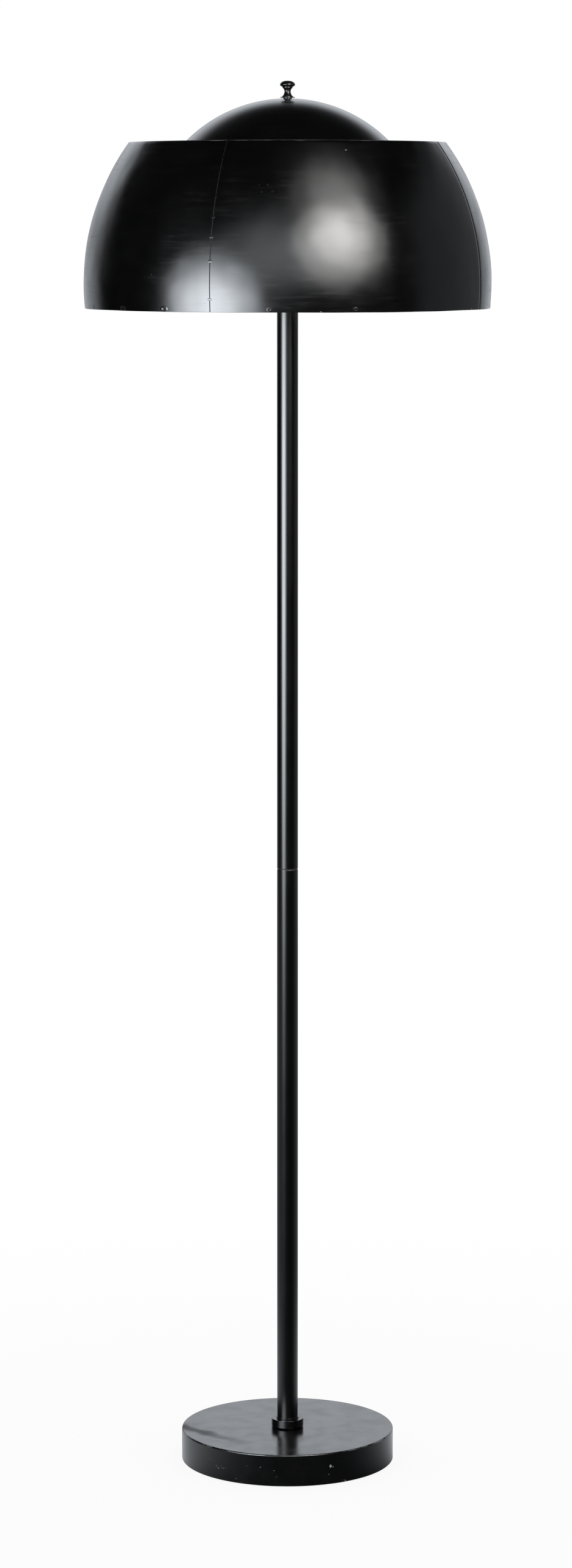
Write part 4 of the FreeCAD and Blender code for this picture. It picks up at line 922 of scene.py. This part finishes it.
for side_name, side in SIDES:
    body = "bulb_" + side_name
    points, faces = spin(list(SOLDER_BUTTON), 48)
    mesh_piece("solder_button_" + side_name, lay(points, side), faces, solder, body + "_foot",
               "bulb_contact_" + side_name)

    outer = rolled_thread(CAP_RADIUS, THREAD_DEPTH, THREAD_START, THREAD_END)
    inner = rolled_thread(CAP_RADIUS - CAP_METAL, THREAD_DEPTH, THREAD_START, THREAD_END)
    points, faces = skin_rows(rings(CAP_END_OUTSIDE) + outer + rings(CAP_EDGE) + inner[::-1]
                              + rings(CAP_END_INSIDE), True)
    mesh_piece("screw_cap_" + side_name, lay(points, side), faces, aluminium, body,
               "bulb_cap_" + side_name, 50.0)

    inside = [(radius - GLASS, height + (FLARE_SHIFT if height > FLARE_START else 0.0))
              for radius, height in NECK]
    points, faces = spin(
        NECK + bend((0.0, GLOBE_CENTRE), GLOBE_RADIUS, GLOBE_START, 90.0, GLOBE_STEPS)[:-1]
        + [(0.0, GLOBE_CENTRE + GLOBE_RADIUS), (0.0, GLOBE_CENTRE + GLOBE_RADIUS - GLASS)]
        + bend((0.0, GLOBE_CENTRE), GLOBE_RADIUS - GLASS, 90.0, GLOBE_START, GLOBE_STEPS)[1:]
        + inside[::-1], 72)
    mesh_piece("opal_bulb_" + side_name, lay(points, side), faces, opal, body,
               "bulb_glass_" + side_name, 60.0)

# ---- Post ----
# A rod of zinc-plated steel, threaded from end to end, clamped in the lid between two nuts. A
# third nut and a washer carry the shade, and a tapped hole in its top takes the finial.

finish_nodes(zinc_thread, "shade_post")
finish_nodes(zinc_plate, "post_nuts", "shade_washer", "dome_washer")

# ---- Arms and hoop ----
# Three flat steel arms from a hub to feet that are spot-welded inside the ring, and a hoop of
# flat strip welded inside its lower edge. Both went into the white enamel with the inside.

ENAMEL = (0.87, 0.86, 0.82, 1.0)
ENAMEL_AGED = (0.77, 0.74, 0.66, 1.0)
ENAMEL_SPECK = (0.25, 0.22, 0.17, 1.0)
white_enamel, tree, spot = new_finish("white_enamel")
surface = place(tree, "Group", {"Cloud Size": 0.09, "Peel Size": 0.003},
                node_tree=sprayed_paint).outputs
soot = ease(tree, noisy(tree, spot, 0.05, 6.0, 0.65), 0.5, 0.8, 0.0, 0.6)
cream = blend_colour(tree, soot, ENAMEL, ENAMEL_AGED)
coat(tree, blend_colour(tree, surface["Speck"], cream, ENAMEL_SPECK),
     ease(tree, surface["Cloud"], 0.3, 0.7, 0.35, 0.45), times(tree, surface["Height"], 0.00002))
finish_nodes(white_enamel, "shade_spider", "dome_spacer")

BELLY_RADIUS = 0.2392
ARC_RADIUS = 0.2792
ARC_OFFSET = BELLY_RADIUS - ARC_RADIUS
BELLY_HEIGHT = 1.4154
RING_LOW = 1.3872
RING_TOP = 1.5800
SHEET = 0.0008


def on_arc(depth, height):
    """Radius of the ring's wall at a height, a depth inside its outer face."""
    return ARC_OFFSET + math.sqrt((ARC_RADIUS - depth) ** 2 - (height - BELLY_HEIGHT) ** 2)


HOOP_DEPTH = SHEET + 0.00016
HOOP_STRIP = 0.0012
HOOP_LOW = 1.3881
HOOP_TOP = 1.3971
HOOP_ROWS = 5
# The hoop's rounded edges: how far their ridge lies inside its outer face and beyond its ends.
RIDGE_INSET = 0.0003
RIDGE_RISE = 0.0002
heights = [HOOP_LOW + (HOOP_TOP - HOOP_LOW) * step / HOOP_ROWS for step in range(HOOP_ROWS + 1)]
points, faces = spin(
    [(on_arc(HOOP_DEPTH, height), height) for height in heights]
    + [(on_arc(HOOP_DEPTH + RIDGE_INSET, HOOP_TOP), HOOP_TOP + RIDGE_RISE)]
    + [(on_arc(HOOP_DEPTH + HOOP_STRIP, height), height) for height in heights[::-1]]
    + [(on_arc(HOOP_DEPTH + RIDGE_INSET, HOOP_LOW), HOOP_LOW - RIDGE_RISE)], 240)
mesh_piece("rim_hoop_strip", points, faces, white_enamel, "shade", "rim_hoop")

# ---- Shade ring ----
# Four sheets of 0.8 mm steel, each bowed both ways over a former by hand, so that the surface
# wavers a little, and butted at four seams. Sprayed satin black outside and white inside.

SEAM_AZIMUTH = -21.5
SEAM_GAP = 0.16
# The flattened edges of the sheets: how wide in degrees, and how deep inside the true shape.
SEAM_FLAT = 4.5
SEAM_DEPTH = 0.00012
# How far the edges roll inwards at the front left, front right and two back seams, in metres.
SEAM_ROLLS = (0.00003, 0.00050, 0.00035, 0.00040)
ROLL_REACH = 0.8
ROLL_POWER = 1.6
PANEL_STEPS = 96
PANEL_ROWS = 56
SEAM_COLUMNS = (0.25, 0.45, 0.65)
EDGE = 0.00025


def waver(azimuth, height):
    """How far the hand-formed wall sits inside its true shape, in metres."""
    around = math.radians(azimuth)
    spot = Vector((math.sin(around), -math.cos(around), height * 4.0))
    broad = noise.noise(spot * 3.1 + Vector((7.3, 1.9, 4.4)))
    small = noise.noise(spot * 8.0 + Vector((2.1, 8.6, 0.7)))
    dents = noise.noise(spot * 17.0 + Vector((5.2, 0.3, 6.1)))
    return 0.0005 + 0.00034 * broad + 0.00026 * small + 0.00006 * dents


def trimmed(azimuth):
    """Height of the ring's lower edge, cut with hand shears, at an azimuth."""
    around = math.radians(azimuth)
    spot = Vector((math.sin(around), -math.cos(around), 0.0))
    return RING_LOW + 0.0004 + 0.0005 * noise.noise(spot * 4.2 + Vector((3.1, 0.4, 9.7)))


def panel_depth(azimuth, height, quarter):
    """How far one of the four sheets sits inside the true shape. Its edges stand out a little
    and then roll in."""
    from_start = azimuth - SEAM_AZIMUTH - 90.0 * quarter
    side, seam = min((from_start, quarter), (90.0 - from_start, (quarter + 1) % 4))
    flat = max(0.0, 1.0 - side / SEAM_FLAT)
    roll = SEAM_ROLLS[seam] * max(0.0, 1.0 - side / ROLL_REACH) ** ROLL_POWER
    return waver(azimuth, height) * (1.0 - flat) + SEAM_DEPTH * flat + roll


# Chips in the paint: azimuth in degrees, height and size in metres, and how bare they are.
SHADE_CHIPS = ((20.0, 1.569, 0.0009, 0.5), (-40.0, 1.4290, 0.0006, 0.15),
               (9.0, 1.3884, 0.0009, 0.4), (63.0, 1.3886, 0.0008, 0.4),
               (140.0, 1.5770, 0.0010, 0.5), (-120.0, 1.4800, 0.0007, 0.3))


def shade_marks(tree, spot):
    """Streaks and buffed patches left by hands and cloths."""
    wiped = place(tree, "VectorMath", {0: spot, 1: (1.0, 1.0, 11.0)}, operation="MULTIPLY")
    streaks = noisy(tree, wiped.outputs[0], 0.045, 4.0, 0.6)
    patches = ease(tree, noisy(tree, spot, 0.05), 0.4, 0.6, 0.2, 1.0)
    smears = times(tree, ease(tree, streaks, 0.45, 0.75, 0.0, 0.07), patches)
    return plus(tree, smears, ease(tree, noisy(tree, spot, 0.11, 2.0), 0.3, 0.75, -0.02, 0.02))


shade_chips = [(on_drum(on_arc(0.0003, height), azimuth, height), size, bareness)
               for azimuth, height, size, bareness in SHADE_CHIPS]
# The lightened top and lower rims are worn paint and a painted highlight along the sheet's edges.
shade_edges = [(on_arc(0.0006, RING_TOP), RING_TOP, 0.0011),
               (on_arc(0.0004, RING_LOW), RING_LOW, 0.0009)]
shade_paint = black_paint("shade_paint", roughness=0.2, cloud_size=0.035, peel=0.000007, dusty=0.02,
                          chips=shade_chips, edges=shade_edges, marks=shade_marks)

edge_angle = math.degrees(EDGE / BELLY_RADIUS)
near = [edge_angle, *SEAM_COLUMNS]
for quarter, panel_name in enumerate(("front", "right", "back", "left")):
    start = SEAM_AZIMUTH + 90.0 * quarter + SEAM_GAP / 2
    stop = start + 90.0 - SEAM_GAP
    columns = [start] + [start + angle for angle in near]
    columns += [start + (stop - start) * step / PANEL_STEPS for step in range(1, PANEL_STEPS)]
    columns += [stop - angle for angle in near[::-1]] + [stop]
    points = []
    faces = []
    white_faces = []
    for column, azimuth in enumerate(columns):
        low = trimmed(azimuth)
        heights = [low + EDGE]
        heights += [low + (RING_TOP - low) * row / PANEL_ROWS for row in range(1, PANEL_ROWS)]
        heights += [RING_TOP - EDGE]
        tuck = EDGE if column in (0, len(columns) - 1) else 0.0
        section = [(tuck, height) for height in heights]
        section += [(EDGE, RING_TOP), (SHEET - EDGE, RING_TOP)]
        section += [(SHEET - tuck, height) for height in heights[::-1]]
        section += [(SHEET - EDGE, low), (EDGE, low)]
        for depth, height in section:
            inset = depth + panel_depth(azimuth, height, quarter)
            points.append(on_drum(on_arc(inset, height), azimuth, height))
    size = len(section)
    for column in range(len(columns) - 1):
        for row in range(size):
            after = (row + 1) % size
            low = column * size
            high = low + size
            faces.append((low + row, high + row, high + after, low + after))
            if len(heights) + 1 < row + 1 < size - 2:
                white_faces.append(len(faces) - 1)
    # Close both ends of the sheet: between outside and inside, then at the top and the bottom.
    last = len(points) - size
    for row in range(len(heights) - 1):
        across = size - 3 - row
        faces.append((row, row + 1, across - 1, across))
        faces.append((last + row + 1, last + row, last + across, last + across - 1))
    top = len(heights) - 1
    for base, flip in ((0, 1), (last, -1)):
        faces.append((base + top, base + top + 1, base + top + 2, base + top + 3)[::flip])
        faces.append((base + size - 3, base + size - 2, base + size - 1, base)[::flip])
    sheet = mesh_piece("shade_sheet_" + panel_name, points, faces, shade_paint, "shade",
                       "shade_panel_" + panel_name, 32.0)
    sheet.data.materials.append(white_enamel)
    for face in white_faces:
        sheet.data.polygons[face].material_index = 1

# ---- Seam welds ----
# Small tacks of weld bridge the open seams, ground almost flush before painting, and each leaves
# a low round button. The half-round blisters along the lower edge are where the hoop is welded.

WELD_SEGMENTS = 20
WELD_ROOT = 0.00025
# Each kind of weld: half its width, half its height, and how it rises from its rim to its middle.
TACK = (0.0016, 0.0016, (0.0, 0.00006, 0.00010, 0.00012))
BLISTER = (0.0056, 0.0033, (0.0, 0.00010, 0.00034, 0.00040, 0.00022, 0.00006, 0.00002))
FAINT_BLISTER = (0.0036, 0.0029, (0.0, 0.00004, 0.00012, 0.00014, 0.00007, 0.00003))
SUNK_DOT = (0.0014, 0.0014, (0.00001, 0.00007, 0.00002))
# Heights of the tacks on the front left seam and on the front right seam, and on the two behind.
SEAM_TACKS = ((1.4020, 1.4447, 1.4718, 1.4941, 1.5167, 1.5610),
              (1.3990, 1.4340, 1.4690, 1.5010, 1.5330, 1.5640),
              (1.4010, 1.4360, 1.4660, 1.4990, 1.5290, 1.5620),
              (1.4030, 1.4330, 1.4670, 1.5000, 1.5310, 1.5630))
# The tacks sit in pairs that overlap across the gap, this far from its middle in degrees.
TACK_BESIDE = 0.22
# Azimuths of the welds along the lower edge, and azimuths and heights of the front arm's dots.
PLAIN_WELDS = (-52.1, -36.0, 105.0, 171.0, -121.0)
FAINT_WELDS = (-70.7, -4.9, 18.8, 41.0, 62.0, 84.0, 127.0, 149.0, -167.0, -146.0, -95.0)
ARM_WELDS = ((-8.6, 1.5299), (-6.0, 1.5298), (-7.7, 1.5221), (-4.5, 1.5227))
# How deep the filler strip lies and half its width in degrees, at the four seams; in the open seams it
# is painted shade.
SEAM_FILLS = ((0.00010, 0.10), (0.00030, 0.26), (0.00030, 0.16), (0.00034, 0.16))
FILL_ROWS = 60
FILL_END = 0.0003


def weld(points, faces, azimuth, height, kind):
    """Add a low round weld that follows the sheet."""
    half_width, half_height, lifts = kind
    quarter = math.floor((azimuth - SEAM_AZIMUTH) / 90.0) % 4
    middle = (azimuth - SEAM_AZIMUTH) % 90.0 + SEAM_AZIMUTH + 90.0 * quarter
    first = len(points)
    levels = [(1.0, -WELD_ROOT)] + [(1.0 - row / len(lifts), lift) for row, lift in enumerate(lifts)]
    for share, lift in levels:
        for step in range(WELD_SEGMENTS):
            angle = math.tau * step / WELD_SEGMENTS
            up = height + half_height * share * math.sin(angle)
            turn = math.degrees(half_width * share * math.cos(angle) / on_arc(0.0, up))
            inset = panel_depth(middle + turn, up, quarter) - lift
            points.append(on_drum(on_arc(inset, up), middle + turn, up))
    for row in range(len(levels) - 1):
        for step in range(WELD_SEGMENTS):
            after = (step + 1) % WELD_SEGMENTS
            low = first + row * WELD_SEGMENTS
            high = low + WELD_SEGMENTS
            faces.append((low + step, low + after, high + after, high + step))
    faces.append(tuple(range(first, first + WELD_SEGMENTS))[::-1])
    faces.append(tuple(range(len(points) - WELD_SEGMENTS, len(points))))


def seam_fill(points, faces, seam, depth, half_width):
    """Add the dull near-black strip that closes a seam, a depth inside the sheets: paint in a tight
    seam, painted shade in an open gap.
    """
    middle = SEAM_AZIMUTH + 90.0 * seam
    first = len(points)
    low = trimmed(middle) + FILL_END
    high = RING_TOP - FILL_END
    for row in range(FILL_ROWS + 1):
        height = low + (high - low) * row / FILL_ROWS
        for side, inset in ((-1, depth), (1, depth), (1, SHEET), (-1, SHEET)):
            azimuth = middle + side * half_width
            points.append(on_drum(on_arc(inset, height), azimuth, height))
    for row in range(FILL_ROWS):
        base = first + row * 4
        for corner in range(4):
            after = (corner + 1) % 4
            faces.append((base + corner, base + after, base + after + 4, base + corner + 4))
    faces.append((first + 3, first + 2, first + 1, first))
    faces.append(tuple(range(len(points) - 4, len(points))))


# A dull near-black strip in the seams: paint filling the tight front-left seam, and painted shade
# standing in the open gaps of the other three.
FILLER_AND_GAP_SHADE_DARK = (0.0008, 0.0008, 0.0008, 1.0)
FILLER_AND_GAP_SHADE_PALE = (0.0035, 0.0034, 0.0032, 1.0)
filler_and_gap_shade, tree, spot = new_finish("seam_filler")
crumbs = noisy(tree, spot, 0.0012, 5.0, 0.6)
coat(tree, blend_colour(tree, crumbs, FILLER_AND_GAP_SHADE_DARK, FILLER_AND_GAP_SHADE_PALE),
     ease(tree, crumbs, 0.3, 0.7, 0.5, 0.7), crumbs, 0.0001, {"IOR": 1.35})
weld_paint = black_paint("weld_paint", roughness=0.26, cloud_size=0.01, dusty=0.0)
weld_places = [(SEAM_AZIMUTH + 90.0 * seam + side * TACK_BESIDE, height, TACK)
               for seam, tacks in enumerate(SEAM_TACKS) for height in tacks for side in (-1, 1)]
weld_places += [(azimuth, RING_LOW + 0.0037, BLISTER) for azimuth in PLAIN_WELDS]
weld_places += [(azimuth, RING_LOW + 0.0036, FAINT_BLISTER) for azimuth in FAINT_WELDS]
weld_places += [(azimuth, height, SUNK_DOT) for azimuth, height in ARM_WELDS]
points = []
faces = []
# The seam strips stand in for paint in the tight seam and for the shade inside the open gaps.
for seam, (depth, half_width) in enumerate(SEAM_FILLS):
    seam_fill(points, faces, seam, depth, half_width)
strip_faces = len(faces)
for azimuth, height, kind in weld_places:
    weld(points, faces, azimuth, height, kind)
welds = mesh_piece("seam_welds", points, faces, weld_paint, "shade", "seam_tacks", 60.0)
welds.data.materials.append(filler_and_gap_shade)
for face in welds.data.polygons[:strip_faces]:
    face.material_index = 1

# ---- Dome ----
# A cap of sheet steel spun on a lathe, with a small flat seat at its crown for the finial. Black
# outside and white inside, it stands on a tube round the post and lets light out all round.

DOME_RADIUS = 0.1675
DOME_RIM = 1.5380
DOME_RIM_ROUND = 0.0004
DOME_SEAT = 1.6304
DOME_SEAT_RADIUS = 0.0126
DOME_CENTRE = DOME_SEAT - math.sqrt(DOME_RADIUS ** 2 - DOME_SEAT_RADIUS ** 2)
DOME_HOLE = 0.0032
DOME_SHEET = 0.0008
DOME_STEPS = 44


def dome_arc(radius, start, stop):
    """The dome's outline at a radius, from one height to another."""
    angles = [math.degrees(math.asin((height - DOME_CENTRE) / radius)) for height in (start, stop)]
    return bend((0.0, DOME_CENTRE), radius, *angles, DOME_STEPS)


dome_paint = black_paint("dome_paint", roughness=0.23, cloud_size=0.05, peel=0.000006, dusty=0.02)
seat_under = DOME_SEAT - DOME_SHEET
outside = dome_arc(DOME_RADIUS, DOME_RIM + DOME_RIM_ROUND, DOME_SEAT)
inside = dome_arc(DOME_RADIUS - DOME_SHEET, seat_under, DOME_RIM + DOME_RIM_ROUND)
lip = (outside[0][0] + inside[-1][0]) / 2
points, faces = spin([(lip, DOME_RIM)] + outside + [(DOME_HOLE, DOME_SEAT), (DOME_HOLE, seat_under)]
                     + inside, 192)
dome = mesh_piece("dome_spun", points, faces, dome_paint, "shade", "dome", 25.0)
dome.data.materials.append(white_enamel)
for face in dome.data.polygons:
    middle = face.center
    reach = math.hypot(middle.x, middle.y, middle.z - DOME_CENTRE)
    if reach < DOME_RADIUS - 0.75 * DOME_SHEET and face.normal.z < 0.0:
        face.material_index = 1

# ---- Finial ----
# A shouldered washer and a small knob, both turned from brass and lacquered gloss black. The
# knob's screw goes down through washer and dome into the post and holds the shade down.

LACQUER_BLACK = (0.004, 0.004, 0.0045, 1.0)
LACQUER_WORN = (0.009, 0.009, 0.01, 1.0)
lacquer, tree, spot = new_finish("black_lacquer")
surface = place(tree, "Group", {"Cloud Size": 0.006, "Peel Size": 0.0015},
                node_tree=sprayed_paint).outputs
tone = blend_colour(tree, ease(tree, surface["Cloud"], 0.4, 0.7), LACQUER_BLACK, LACQUER_WORN)
film = place(tree, "Group", {"Amount": 0.05}, node_tree=dust).outputs["Mask"]
coat(tree, blend_colour(tree, film, tone, DUST_COLOUR),
     ease(tree, surface["Cloud"], 0.3, 0.7, 0.16, 0.26), times(tree, surface["Height"], 0.000008),
     others={"IOR": PAINT_IOR})

SCREW_HOLE = 0.0026
SPIGOT_RADIUS = 0.0051
SPIGOT_TOP = 1.6316
FINIAL_LOW = 1.6325
points, faces = spin(
    [(SCREW_HOLE, DOME_SEAT), (SPIGOT_RADIUS, DOME_SEAT), (SPIGOT_RADIUS, SPIGOT_TOP),
     (0.00865, SPIGOT_TOP)]
    + bend((0.00860, (SPIGOT_TOP + FINIAL_LOW) / 2), 0.00025, -80.0, 80.0, 6)
    + [(0.0084, FINIAL_LOW), (SCREW_HOLE, FINIAL_LOW)], 72)
mesh_piece("finial_washer_turned", points, faces, lacquer, "finial_washer",
           "finial_washer")

# Outline of the knob from the tip of its screw to its crown: radius and height over the washer.
KNOB_OUTLINE = ((0.0, -0.0160), (0.0021, -0.0160), (0.0025, -0.0155), (0.0025, 0.0),
                (0.0061, 0.0), (0.0064, 0.0002), (0.0064, 0.0007), (0.0061, 0.0011),
                (0.0056, 0.0015), (0.0050, 0.0022), (0.0044, 0.0033), (0.0039, 0.0047),
                (0.00365, 0.0062), (0.0038, 0.0075), (0.0043, 0.0088), (0.0051, 0.0098),
                (0.0057, 0.0103), (0.0061, 0.0106), (0.0061, 0.0117), (0.0063, 0.0119),
                (0.0068, 0.0119), (0.0077, 0.0122), (0.0085, 0.0130), (0.0089, 0.0139),
                (0.00895, 0.0144), (0.0087, 0.0153), (0.0080, 0.0163), (0.0069, 0.0173),
                (0.0053, 0.0181), (0.0036, 0.0186), (0.0018, 0.0188), (0.0, 0.0188))
points, faces = spin([(radius, FINIAL_LOW + height) for radius, height in KNOB_OUTLINE], 72)
mesh_piece("finial_knob", points, faces, lacquer, "finial", "finial", 40.0)
